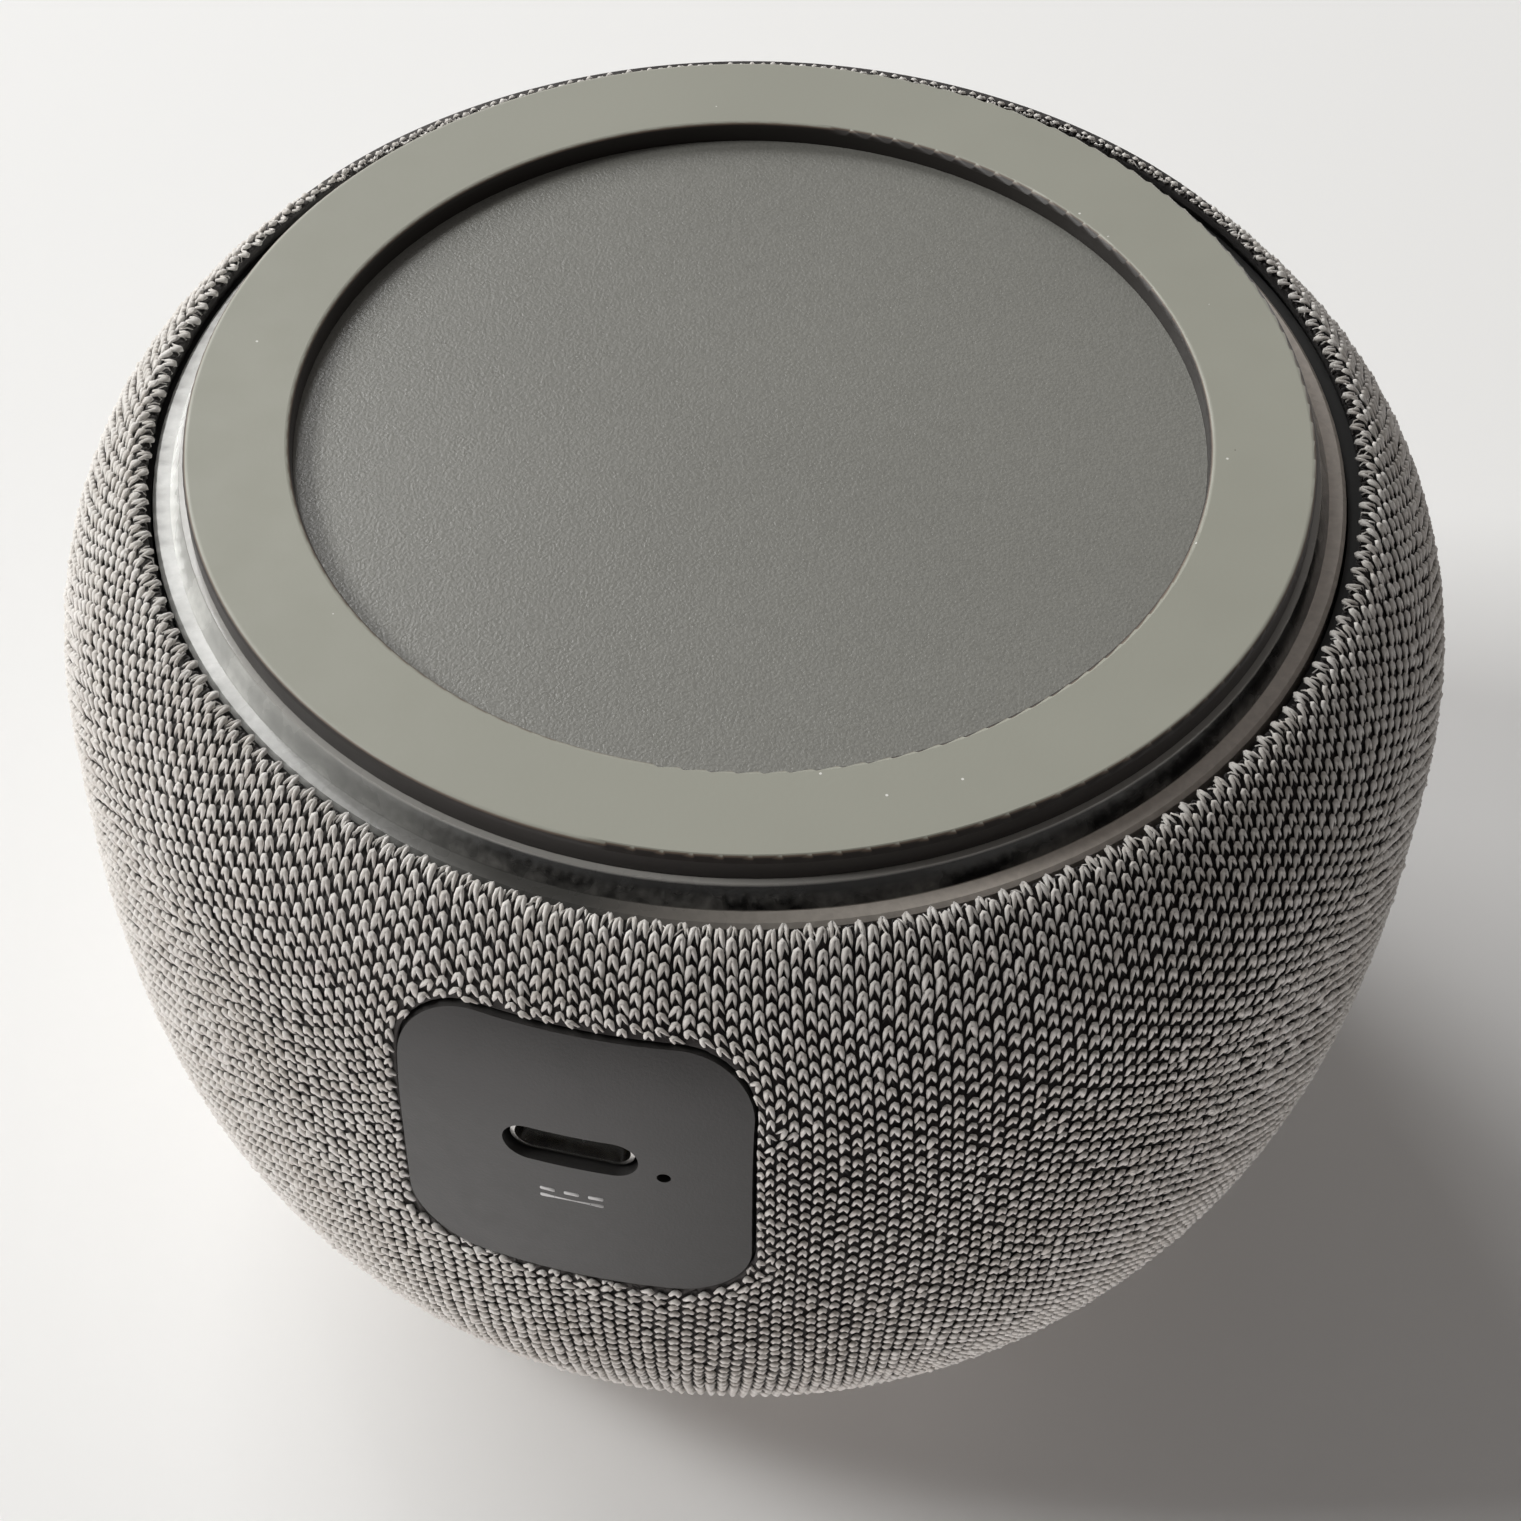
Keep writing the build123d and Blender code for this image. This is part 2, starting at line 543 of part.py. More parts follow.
# --------------------------------------------------------------------------- acoustic chamber
def make_chamber_tub():
    tub = disc(TUB_RADIUS, TUB_BOTTOM_Z, BAFFLE_Z)
    tub -= disc(TUB_RADIUS - TUB_WALL, TUB_BOTTOM_Z + TUB_WALL, BAFFLE_Z)
    post = disc(TUB_POST_RADIUS, CHASSIS_TOP_Z, TUB_BOTTOM_Z) - screw_hole(CHASSIS_TOP_Z, TUB_BOTTOM_Z)
    for solid in around(DIAGONAL_ANGLES, TUB_POST_CIRCLE, post):
        tub += solid
    return tub - Pos(LEAD_X, 0, 0) * disc(GROMMET_RADIUS, TUB_BOTTOM_Z, TUB_BOTTOM_Z + TUB_WALL)


def make_chamber_baffle():
    return ring(BAFFLE_HOLE_RADIUS, BAFFLE_RADIUS, BAFFLE_Z, BAFFLE_Z + BAFFLE_THICKNESS)


def make_lead_grommet():
    top_z = TUB_BOTTOM_Z + TUB_WALL
    sleeve = disc(GROMMET_RADIUS - RUNNING_GAP, TUB_BOTTOM_Z - GROMMET_FLANGE, top_z)
    flange = disc(GROMMET_FLANGE_RADIUS, TUB_BOTTOM_Z - GROMMET_FLANGE, TUB_BOTTOM_Z)
    bore = disc(GROMMET_BORE, TUB_BOTTOM_Z - GROMMET_FLANGE, top_z)
    return Pos(LEAD_X, 0, 0) * (sleeve + flange - bore)


def make_speaker_leads():
    leads = []
    for side in (-1, 1):
        points = [(x, side * LEAD_SPREAD, z) for x, z in LEAD_ROUTE]
        path = FilletPolyline(*points, radius=LEAD_BENDS)
        section = Plane(origin=path @ 0, z_dir=path % 0) * Circle(LEAD_RADIUS)
        leads.append(sweep(section, path))
    return leads


def make_lead_connector():
    low_x, high_x, width, height = LEAD_CONNECTOR
    return block(low_x, high_x, -width / 2, width / 2, BOARD_TOP_Z, BOARD_TOP_Z + height - RUNNING_GAP)


# --------------------------------------------------------------------------- loudspeaker driver
def make_driver_gasket():
    gasket = ring(GASKET_INNER, GASKET_OUTER, BAFFLE_Z + BAFFLE_THICKNESS, FLANGE_Z)
    for solid in around(DIAGONAL_ANGLES, DRIVER_SCREW_CIRCLE, screw_hole(BAFFLE_Z, FLANGE_Z)):
        gasket -= solid
    return gasket


def make_driver_basket():
    flange_top = FLANGE_Z + FLANGE_THICKNESS
    neck_radius = BAFFLE_HOLE_RADIUS - 0.4
    foot_top = BASKET_FOOT_Z + BASKET_WALL
    basket = turned_outline((FLANGE_RADIUS, FLANGE_Z), (FLANGE_RADIUS, flange_top), (neck_radius, flange_top),
                            (neck_radius - 1, flange_top - 1), (BASKET_FOOT_RADIUS - 1, foot_top),
                            (BASKET_HOLE_RADIUS, foot_top), (BASKET_HOLE_RADIUS, BASKET_FOOT_Z),
                            (BASKET_FOOT_RADIUS, BASKET_FOOT_Z), (neck_radius, FLANGE_Z))
    low_z, high_z = BASKET_WINDOW_Z
    wedge = turned_outline((BASKET_FOOT_RADIUS - 2, low_z), (FLANGE_RADIUS, low_z),
                           (FLANGE_RADIUS, high_z), (BASKET_FOOT_RADIUS - 2, high_z))
    reach = FLANGE_RADIUS + 1
    spread = radians(BASKET_WINDOW_ARC / 2)
    sector_face = make_face(Polyline((0, 0), (reach * cos(spread) * 2, reach * sin(spread) * 2),
                                     (reach * cos(spread) * 2, -reach * sin(spread) * 2), close=True))
    window = wedge & extrude(sector_face, FLANGE_Z)
    for angle in DIAGONAL_ANGLES:
        basket -= Rot(0, 0, angle) * window
    for solid in around(DIAGONAL_ANGLES, DRIVER_SCREW_CIRCLE, screw_hole(FLANGE_Z, flange_top)):
        basket -= solid
    low_x, high_x, width, low_z, high_z = TERMINAL_BLOCK
    return basket + block(low_x, high_x, -width / 2, width / 2, low_z, high_z)


def make_driver_screws():
    head_top = FLANGE_Z + FLANGE_THICKNESS + SCREW_HEAD_HEIGHT
    return around(DIAGONAL_ANGLES, DRIVER_SCREW_CIRCLE, screw(head_top, BAFFLE_Z + BAFFLE_THICKNESS))


def make_magnet():
    return ring(MAGNET_BORE, MAGNET_RADIUS, MAGNET_Z, TOP_PLATE_Z)


def make_magnet_top_plate():
    return ring(TOP_PLATE_BORE, TOP_PLATE_RADIUS, TOP_PLATE_Z, BASKET_FOOT_Z)


def make_magnet_yoke():
    yoke = disc(YOKE_RADIUS, YOKE_Z, MAGNET_Z) + disc(POLE_RADIUS, MAGNET_Z, BASKET_FOOT_Z)
    return yoke - disc(POLE_VENT_RADIUS, YOKE_Z, BASKET_FOOT_Z)


def make_voice_coil():
    return ring(*COIL_FORMER) + ring(*COIL_WINDING)


def make_speaker_cone():
    neck_radius, neck_z = CONE_NECK
    edge_radius, edge_z = CONE_EDGE
    top_z = edge_z + CONE_THICKNESS
    return turned_outline((neck_radius, neck_z), (edge_radius, edge_z), (CONE_LIP_RADIUS, edge_z),
                          (CONE_LIP_RADIUS, top_z), (edge_radius - CONE_THICKNESS / 2, top_z),
                          (neck_radius, neck_z + CONE_SLANT * CONE_THICKNESS))


def make_dust_cap():
    sphere_radius = (DUST_CAP_RADIUS ** 2 + DUST_CAP_RISE ** 2) / (2 * DUST_CAP_RISE)
    centre = Pos(0, 0, DUST_CAP_Z + DUST_CAP_RISE - sphere_radius)
    dome = centre * Sphere(sphere_radius) - centre * Sphere(sphere_radius - DUST_CAP_THICKNESS)
    return dome & disc(DUST_CAP_RADIUS, DUST_CAP_Z, DUST_CAP_Z + DUST_CAP_RISE + 1)


def make_surround():
    roll_start = ROLL_CENTRE_RADIUS - ROLL_RADIUS
    roll_end = ROLL_CENTRE_RADIUS + ROLL_RADIUS
    top_z = ROLL_Z + ROLL_THICKNESS
    crest_z = ROLL_Z + ROLL_RADIUS
    upper = ThreePointArc((roll_start - ROLL_THICKNESS, top_z), (ROLL_CENTRE_RADIUS, crest_z + ROLL_THICKNESS),
                          (roll_end + ROLL_THICKNESS, top_z))
    lower = ThreePointArc((roll_end, ROLL_Z), (ROLL_CENTRE_RADIUS, crest_z), (roll_start, ROLL_Z))
    outer_lip = Polyline(upper @ 1, (ROLL_OUTER_LIP, top_z), (ROLL_OUTER_LIP, ROLL_Z), lower @ 0)
    inner_lip = Polyline(lower @ 1, (ROLL_INNER_LIP, ROLL_Z), (ROLL_INNER_LIP, top_z), upper @ 0)
    return turned(make_face([upper, outer_lip, lower, inner_lip]))


def make_spider():
    inner, outer = SPIDER_RADII
    folds = 2 * SPIDER_FOLDS
    bottom = []
    for i in range(folds + 1):
        lift = SPIDER_WAVE if i % 2 else 0
        bottom.append((inner + (outer - inner) * i / folds, SPIDER_Z + lift))
    top = [(radius, z + SPIDER_THICKNESS) for radius, z in reversed(bottom)]
    return turned_outline(*bottom, *top)


# --------------------------------------------------------------------------- top tray and controls
def make_top_tray():
    top_z = TRAY_Z + TRAY_THICKNESS
    tray = disc(TRAY_RADIUS, TRAY_Z, top_z)
    pillar = disc(TRAY_PILLAR_RADIUS, BAFFLE_Z + BAFFLE_THICKNESS, TRAY_Z)
    for solid in around(DIAGONAL_ANGLES, TRAY_PILLAR_CIRCLE, pillar):
        tray += solid
    standoff = disc(TRAY_STANDOFF_RADIUS, top_z, BUTTON_BOARD_Z)
    for solid in around(DIAGONAL_ANGLES, TRAY_STANDOFF_CIRCLE, standoff):
        tray += solid
    cuts = around(DIAGONAL_ANGLES, TRAY_PILLAR_CIRCLE, screw_hole(BAFFLE_Z + BAFFLE_THICKNESS, top_z))
    cuts += around(DIAGONAL_ANGLES, TRAY_STANDOFF_CIRCLE, screw_hole(TRAY_Z, BUTTON_BOARD_Z))
    for solid in cuts:
        tray -= solid
    slot_x = RIBBON_ROUTE[0][0]
    half_width = RIBBON_WIDTH / 2 + RIBBON_SLOT_MARGIN
    low_x = slot_x - RIBBON_SLOT_MARGIN
    high_x = slot_x + RIBBON_SLOT_MARGIN
    return tray - block(low_x, high_x, -half_width, half_width, TRAY_Z, top_z)


def make_tray_screws():
    tip_z = BAFFLE_Z + BAFFLE_THICKNESS + 1
    tray_screw = screw(TRAY_Z + TRAY_THICKNESS + SCREW_HEAD_HEIGHT, tip_z)
    return around(DIAGONAL_ANGLES, TRAY_PILLAR_CIRCLE, tray_screw)


def make_sound_deflector():
    axis_points = ((0, TRAY_Z), (0, DEFLECTOR_TIP_Z), (DEFLECTOR_TIP_RADIUS, DEFLECTOR_TIP_Z))
    rim_points = ((DEFLECTOR_RADIUS, TRAY_Z - DEFLECTOR_RIM), (DEFLECTOR_RADIUS, TRAY_Z))
    return turned_outline(*axis_points, *DEFLECTOR_FLANK, *rim_points)


def make_button_board():
    board = disc(BUTTON_BOARD_RADIUS, BUTTON_BOARD_Z, BUTTON_BOARD_Z + BUTTON_BOARD_THICKNESS)
    holes = around(DIAGONAL_ANGLES, TRAY_STANDOFF_CIRCLE, screw_hole(BUTTON_BOARD_Z, HEIGHT))
    return board - holes


def make_button_board_screws():
    head_top = BUTTON_BOARD_Z + BUTTON_BOARD_THICKNESS + SCREW_HEAD_HEIGHT
    return around(DIAGONAL_ANGLES, TRAY_STANDOFF_CIRCLE, screw(head_top, TRAY_Z + 1))


def make_tact_switches():
    top_z = BUTTON_BOARD_Z + BUTTON_BOARD_THICKNESS + SWITCH_HEIGHT
    half = SWITCH_SIZE / 2
    switch = block(-half, half, -half, half, top_z - SWITCH_HEIGHT, top_z)
    switch -= disc(SWITCH_PLUNGER_RADIUS + RUNNING_GAP, top_z - SWITCH_BORE_DEPTH, top_z)
    return around(SQUARE_ANGLES, BUTTON_CIRCLE, switch)


def make_button(angle):
    low_z, flange_z = BUTTON_FLANGE_Z
    cap_outline = make_face(Polyline((0, flange_z), (BUTTON_RADIUS, flange_z), (BUTTON_RADIUS, BUTTON_TOP_Z),
                                     (0, BUTTON_TOP_Z), close=True))
    rim = [v for v in cap_outline.vertices() if v.X > 1 and v.Y > flange_z + 1]
    cap = turned(fillet(rim, BUTTON_EDGE_ROUND))
    cap += disc(BUTTON_FLANGE_RADIUS, low_z, flange_z)
    cap += disc(BUTTON_STEM_RADIUS, SWITCH_PLUNGER_Z[1], low_z)
    return Rot(0, 0, angle) * Pos(BUTTON_CIRCLE, 0, 0) * cap


def make_plunger(angle):
    return Rot(0, 0, angle) * Pos(BUTTON_CIRCLE, 0, 0) * disc(SWITCH_PLUNGER_RADIUS, *SWITCH_PLUNGER_Z)


def make_microphones():
    width, depth, height = MIC_SIZE
    base_z = BUTTON_BOARD_Z + BUTTON_BOARD_THICKNESS
    mic = block(-width / 2, width / 2, -depth / 2, depth / 2, base_z, base_z + height)
    return around(DIAGONAL_ANGLES, MIC_CIRCLE, mic)


def make_mic_gaskets():
    base_z = BUTTON_BOARD_Z + BUTTON_BOARD_THICKNESS + MIC_SIZE[2]
    gasket = ring(MIC_HOLE_RADIUS, MIC_GASKET_RADIUS, base_z, PANEL_UNDERSIDE_Z)
    return around(DIAGONAL_ANGLES, MIC_CIRCLE, gasket)


def make_top_panel():
    skirt_z = TRAY_Z + TRAY_THICKNESS
    dish_radius = PANEL_RIM_INNER
    dish_mid_z = PANEL_CENTRE_Z + (HEIGHT - PANEL_CENTRE_Z) / 4
    dish = ThreePointArc((0, PANEL_CENTRE_Z), (dish_radius / 2, dish_mid_z), (dish_radius, HEIGHT))
    edge = Polyline((dish_radius, HEIGHT), (PANEL_RADIUS, HEIGHT), (PANEL_RADIUS, skirt_z),
                    (PANEL_SKIRT_INNER, skirt_z), (PANEL_SKIRT_INNER, PANEL_UNDERSIDE_Z),
                    (0, PANEL_UNDERSIDE_Z), (0, PANEL_CENTRE_Z))
    face = make_face([dish, edge])
    corner = [v for v in face.vertices() if v.X > PANEL_RADIUS - 0.1 and v.Y > HEIGHT - 0.1]
    panel = turned(fillet(corner, PANEL_EDGE_ROUND))
    button_hole = disc(BUTTON_RADIUS + BUTTON_GAP, PANEL_UNDERSIDE_Z - 1, HEIGHT + 1)
    mic_hole = disc(MIC_HOLE_RADIUS, PANEL_UNDERSIDE_Z - 1, HEIGHT + 1)
    holes = around(SQUARE_ANGLES, BUTTON_CIRCLE, button_hole)
    holes += around(DIAGONAL_ANGLES, MIC_CIRCLE, mic_hole)
    for solid in holes:
        panel -= solid
    return panel


def make_ribbon_cable():
    centre_line = FilletPolyline(*RIBBON_ROUTE, radius=RIBBON_BEND)
    strip = offset(centre_line, RIBBON_THICKNESS / 2, kind=Kind.INTERSECTION)
    face = make_face(strip)
    return Pos(0, RIBBON_WIDTH / 2, 0) * extrude(Plane.XZ * face, RIBBON_WIDTH)


def make_ribbon_connectors():
    length, width = RIBBON_CONNECTOR
    top_x, top_z = RIBBON_ROUTE[0]
    end_x, end_z = RIBBON_ROUTE[-1]
    half = width / 2
    upper = block(top_x - length / 2, top_x + length / 2, -half, half, top_z + RIBBON_THICKNESS, BUTTON_BOARD_Z)
    lower_x = end_x + RIBBON_THICKNESS
    lower = block(lower_x, lower_x + length, -half, half, BOARD_TOP_Z, 2 * end_z - BOARD_TOP_Z)
    return [upper, lower]


# --------------------------------------------------------------------------- write one STEP per node
NODES = {
    "foot_ring": make_foot_ring,
    "bottom_cover": make_bottom_cover,
    "bottom_screws": make_bottom_screws,
    "light_ring": make_light_ring,
    "led_board": make_led_board,
    "ring_leds": make_ring_leds,
    "base_chassis": make_base_chassis,
    "chassis_screws": make_chassis_screws,
    "grille_shell": make_grille_shell,
    "fabric_sleeve": make_fabric_sleeve,
    "port_plate": make_port_plate,
    "usb_shell": make_usb_shell,
    "usb_tongue": make_usb_tongue,
    "usb_contacts": make_usb_contacts,
    "main_board": make_main_board,
    "board_screws": make_board_screws,
    "shield_can": make_shield_can,
    "board_chips": make_board_chips,
    "board_capacitors": make_board_capacitors,
    "reset_switch": make_reset_switch,
    "reset_plunger": make_reset_plunger,
    "chamber_tub": make_chamber_tub,
    "chamber_baffle": make_chamber_baffle,
    "lead_grommet": make_lead_grommet,
    "speaker_leads": make_speaker_leads,
    "lead_connector": make_lead_connector,
    "driver_gasket": make_driver_gasket,
    "driver_basket": make_driver_basket,
    "driver_screws": make_driver_screws,
    "magnet": make_magnet,
    "magnet_top_plate": make_magnet_top_plate,
    "magnet_yoke": make_magnet_yoke,
    "voice_coil": make_voice_coil,
    "speaker_cone": make_speaker_cone,
    "dust_cap": make_dust_cap,
    "surround": make_surround,
    "spider": make_spider,
    "top_tray": make_top_tray,
    "tray_screws": make_tray_screws,
    "sound_deflector": make_sound_deflector,
    "button_board": make_button_board,
    "button_board_screws": make_button_board_screws,
    "tact_switches": make_tact_switches,
    "microphones": make_microphones,
    "mic_gaskets": make_mic_gaskets,
    "top_panel": make_top_panel,
    "ribbon_cable": make_ribbon_cable,
    "ribbon_connectors": make_ribbon_connectors,
}


def write_node(name, solids):
    shape = Compound(children=solids) if isinstance(solids, list) else solids
    export_step(shape, f"parts/{name}.step")


os.makedirs("parts", exist_ok=True)
for node_name, make in NODES.items():
    write_node(node_name, make())
for control, button_angle in BUTTONS.items():
    write_node(f"{control}_button", make_button(button_angle))
    write_node(f"{control}_plunger", make_plunger(button_angle))
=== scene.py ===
import math

import bpy
import numpy as np
from mathutils import Matrix, Vector
from mathutils.bvhtree import BVHTree


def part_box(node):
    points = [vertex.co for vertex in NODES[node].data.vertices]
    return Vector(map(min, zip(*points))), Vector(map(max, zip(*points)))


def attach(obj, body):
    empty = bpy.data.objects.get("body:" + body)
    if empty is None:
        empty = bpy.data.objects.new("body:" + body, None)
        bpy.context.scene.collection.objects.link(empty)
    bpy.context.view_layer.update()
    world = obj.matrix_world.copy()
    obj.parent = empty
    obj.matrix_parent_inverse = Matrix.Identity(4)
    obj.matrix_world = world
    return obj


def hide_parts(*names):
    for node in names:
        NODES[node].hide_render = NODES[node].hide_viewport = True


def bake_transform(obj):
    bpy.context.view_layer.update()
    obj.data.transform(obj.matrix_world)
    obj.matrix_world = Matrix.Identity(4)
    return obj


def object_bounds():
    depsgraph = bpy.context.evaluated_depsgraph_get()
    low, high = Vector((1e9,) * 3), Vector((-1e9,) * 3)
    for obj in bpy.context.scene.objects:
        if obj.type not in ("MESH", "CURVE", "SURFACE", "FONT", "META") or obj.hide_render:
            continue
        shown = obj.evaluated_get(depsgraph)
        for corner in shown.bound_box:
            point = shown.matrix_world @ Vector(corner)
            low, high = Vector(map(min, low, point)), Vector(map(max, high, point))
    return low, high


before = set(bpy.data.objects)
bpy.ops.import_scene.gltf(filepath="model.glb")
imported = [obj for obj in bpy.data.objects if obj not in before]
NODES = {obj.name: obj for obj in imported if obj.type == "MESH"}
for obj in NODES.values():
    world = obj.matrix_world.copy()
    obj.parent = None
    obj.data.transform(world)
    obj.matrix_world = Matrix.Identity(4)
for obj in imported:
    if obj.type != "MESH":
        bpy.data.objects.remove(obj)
CAD_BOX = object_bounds()
MM = 0.001
RNG = np.random.default_rng(20)

# ---------------------------------------------------------------- sizes, in millimetres
BODY_RADIUS = 53.0
WIDEST_Z = 22.0
LOWER_REACH, LOWER_POWER = 30.9, 2.48
UPPER_REACH, UPPER_POWER = 58.7, 2.82
HEM_RADIUS = 44.95
HEM_BOTTOM_Z, HEM_TOP_Z = 3.1, 5.0
LIP_RADIUS = 34.9
LIP_Z, LIP_END_Z = 73.5, 71.4
PLATE_CENTRE_Z = 23.075
OPENING_HALF = (12.9, 13.65)
OPENING_CORNER = 5.9

WALES = 340
COURSE = 1.24               # from one light stitch to the next up a wale
YARN_BASE = -0.4            # the dark ground lies this far under the knit's face
KNIT_DEPTH = 0.5
SLEEVE_SHIFT = ((0.3, 0.55), (0.974, -0.228))       # at the crest and the widest course, and which way
FAR_SIDE = math.radians(256.8)      # opposite the port's side, the crest is drawn tighter and lies lower
TAUT_SINK = 0.55
# the side of the light ring that is painted pale and whitish, as painted light
PAINTED_LIGHT_SIDE = (-0.995, -0.07, 0.0)


# ---------------------------------------------------------------- node graphs
class Graph:
    """A material on one Principled shader, with short names for the nodes that the finishes need."""

    def __init__(self, name, **values):
        self.material = bpy.data.materials.new(name)
        self.material.use_nodes = True
        self.tree = self.material.node_tree
        self.shader = self.tree.nodes["Principled BSDF"]
        for socket, value in values.items():
            self.shader.inputs[socket.replace("_", " ")].default_value = value
        self.place = self.tree.nodes.new("ShaderNodeTexCoord").outputs["Object"]

    def node(self, kind, **settings):
        made = self.tree.nodes.new(kind)
        for name, value in settings.items():
            setattr(made, name, value)
        return made

    def link(self, source, target):
        if hasattr(source, "is_output"):
            self.tree.links.new(source, target)
        else:
            target.default_value = source

    def stretched(self, scale, rotation=(0, 0, 0)):
        made = self.node("ShaderNodeMapping")
        made.inputs["Scale"].default_value = scale
        made.inputs["Rotation"].default_value = rotation
        self.link(self.place, made.inputs["Vector"])
        return made.outputs["Vector"]

    def noise(self, scale, detail=2.0, rough=0.5, vector=None):
        made = self.node("ShaderNodeTexNoise")
        self.link(vector or self.place, made.inputs["Vector"])
        made.inputs["Scale"].default_value = scale
        made.inputs["Detail"].default_value = detail
        made.inputs["Roughness"].default_value = rough
        return made.outputs["Fac"]

    def cells(self, scale, feature="F1", vector=None):
        made = self.node("ShaderNodeTexVoronoi", feature=feature)
        self.link(vector or self.place, made.inputs["Vector"])
        made.inputs["Scale"].default_value = scale
        return made.outputs["Distance"]

    def math(self, operation, a, b=0.0, clamp=False):
        made = self.node("ShaderNodeMath", operation=operation, use_clamp=clamp)
        self.link(a, made.inputs[0])
        self.link(b, made.inputs[1])
        return made.outputs[0]

    def axis(self, letter):
        made = self.node("ShaderNodeSeparateXYZ")
        self.link(self.place, made.inputs[0])
        return made.outputs[letter]

    def along(self, direction):
        made = self.node("ShaderNodeVectorMath", operation="DOT_PRODUCT")
        self.link(self.place, made.inputs[0])
        made.inputs[1].default_value = direction
        return made.outputs["Value"]

    def between(self, value, low, high):
        """Rises from nought to one as the value goes from low to high."""
        made = self.node("ShaderNodeMapRange")
        self.link(value, made.inputs["Value"])
        made.inputs["From Min"].default_value = low
        made.inputs["From Max"].default_value = high
        return made.outputs["Result"]

    def ramp(self, factor, *stops):
        made = self.node("ShaderNodeValToRGB")
        self.link(factor, made.inputs["Fac"])
        band = made.color_ramp
        while len(band.elements) < len(stops):
            band.elements.new(0.5)
        for element, (position, colour) in zip(band.elements, stops):
            element.position = position
            element.color = (*colour, 1.0) if hasattr(colour, "__len__") else (colour,) * 3 + (1.0,)
        return made.outputs["Color"]

    def blend(self, factor, a, b, mode="MIX"):
        made = self.node("ShaderNodeMix", data_type="RGBA", blend_type=mode)
        self.link(factor, made.inputs[0])
        self.link((*a, 1.0) if isinstance(a, tuple) else a, made.inputs[6])
        self.link((*b, 1.0) if isinstance(b, tuple) else b, made.inputs[7])
        return made.outputs[2]

    def colour(self, source):
        self.link(source, self.shader.inputs["Base Color"])

    def roughness(self, factor, low, high):
        self.link(self.ramp(factor, (0.3, low), (0.7, high)), self.shader.inputs["Roughness"])

    def bump(self, height, depth, strength=1.0):
        """Adds a relief of the given depth in metres on top of any that is there."""
        made = self.node("ShaderNodeBump")
        made.inputs["Strength"].default_value = strength
        made.inputs["Distance"].default_value = depth
        self.link(height, made.inputs["Height"])
        before = self.shader.inputs["Normal"].links
        if before:
            self.link(before[0].from_socket, made.inputs["Normal"])
        self.link(made.outputs["Normal"], self.shader.inputs["Normal"])


def shade(colour, factor):
    return tuple(min(1.0, c * factor) for c in colour)


def moulded(name, colour, rough=(0.4, 0.55), grain=5200, depth=0.00001, drift=0.06, **values):
    """Moulded plastic or rubber: a fine spark-eroded grain, slow colour drift and a little uneven gloss."""
    g = Graph(name, **values)
    slow = g.noise(55, 3)
    g.colour(g.ramp(slow, (0.3, shade(colour, 1 - drift)), (0.7, shade(colour, 1 + drift))))
    g.roughness(g.noise(400, 3), *rough)
    g.bump(g.noise(grain, 2, 0.6), depth)
    return g


def metal(name, colour, rough=(0.2, 0.36), lines=(1, 1, 1)):
    """Bright metal with fine drawn or turned lines and handling marks."""
    g = Graph(name, Metallic=1.0)
    streak = g.noise(2600, 3, 0.6, g.stretched(lines))
    g.colour(g.ramp(streak, (0.25, shade(colour, 0.86)), (0.75, shade(colour, 1.05))))
    g.roughness(g.noise(700, 3), *rough)
    g.bump(streak, 0.000004)
    return g


# ---------------------------------------------------------------- finishes, one for each slot of the record
def silicone():
    base = (0.31, 0.311, 0.264)
    g = Graph("foot_silicone", Roughness=0.5)
    g.shader.inputs["Sheen Weight"].default_value = 0.12
    g.shader.inputs["Sheen Roughness"].default_value = 0.4
    slow = g.ramp(g.noise(32, 3), (0.3, shade(base, 0.96)), (0.7, shade(base, 1.04)))
    dust = g.math("LESS_THAN", g.cells(520), 0.055)
    some = g.math("GREATER_THAN", g.noise(190, 1), 0.56)
    pale = g.blend(g.math("MULTIPLY", dust, some), slow, (0.72, 0.72, 0.68))
    pits = g.math("MULTIPLY", g.math("LESS_THAN", g.cells(310), 0.042), g.math("GREATER_THAN", g.noise(120, 1), 0.6))
    face = g.blend(pits, pale, (0.07, 0.068, 0.06))
    # Painted shade on the foot's walls: brown just past the edge of its face, near black further in.
    depth = g.axis("Z")
    edge = g.blend(g.between(depth, 0.00004, 0.0001), face, (0.13, 0.095, 0.07))
    g.colour(g.blend(g.between(depth, 0.0001, 0.0002), edge, (0.016, 0.012, 0.01)))
    g.roughness(g.noise(260, 3), 0.46, 0.6)
    g.bump(g.noise(2400, 2), 0.000006)
    g.bump(g.math("MULTIPLY", dust, some), 0.00003)
    return g


def cover():
    base = (0.205, 0.204, 0.187)
    g = Graph("cover_plastic")
    slow = g.ramp(g.noise(40, 3), (0.3, shade(base, 0.95)), (0.7, shade(base, 1.05)))
    grain = g.noise(4300, 2, 0.55)
    speck = g.ramp(grain, (0.3, shade(base, 0.72)), (0.68, shade(base, 1.18)))
    g.colour(g.blend(0.4, slow, speck))
    g.roughness(g.noise(900, 2), 0.27, 0.36)
    g.bump(grain, 0.00004)
    return g


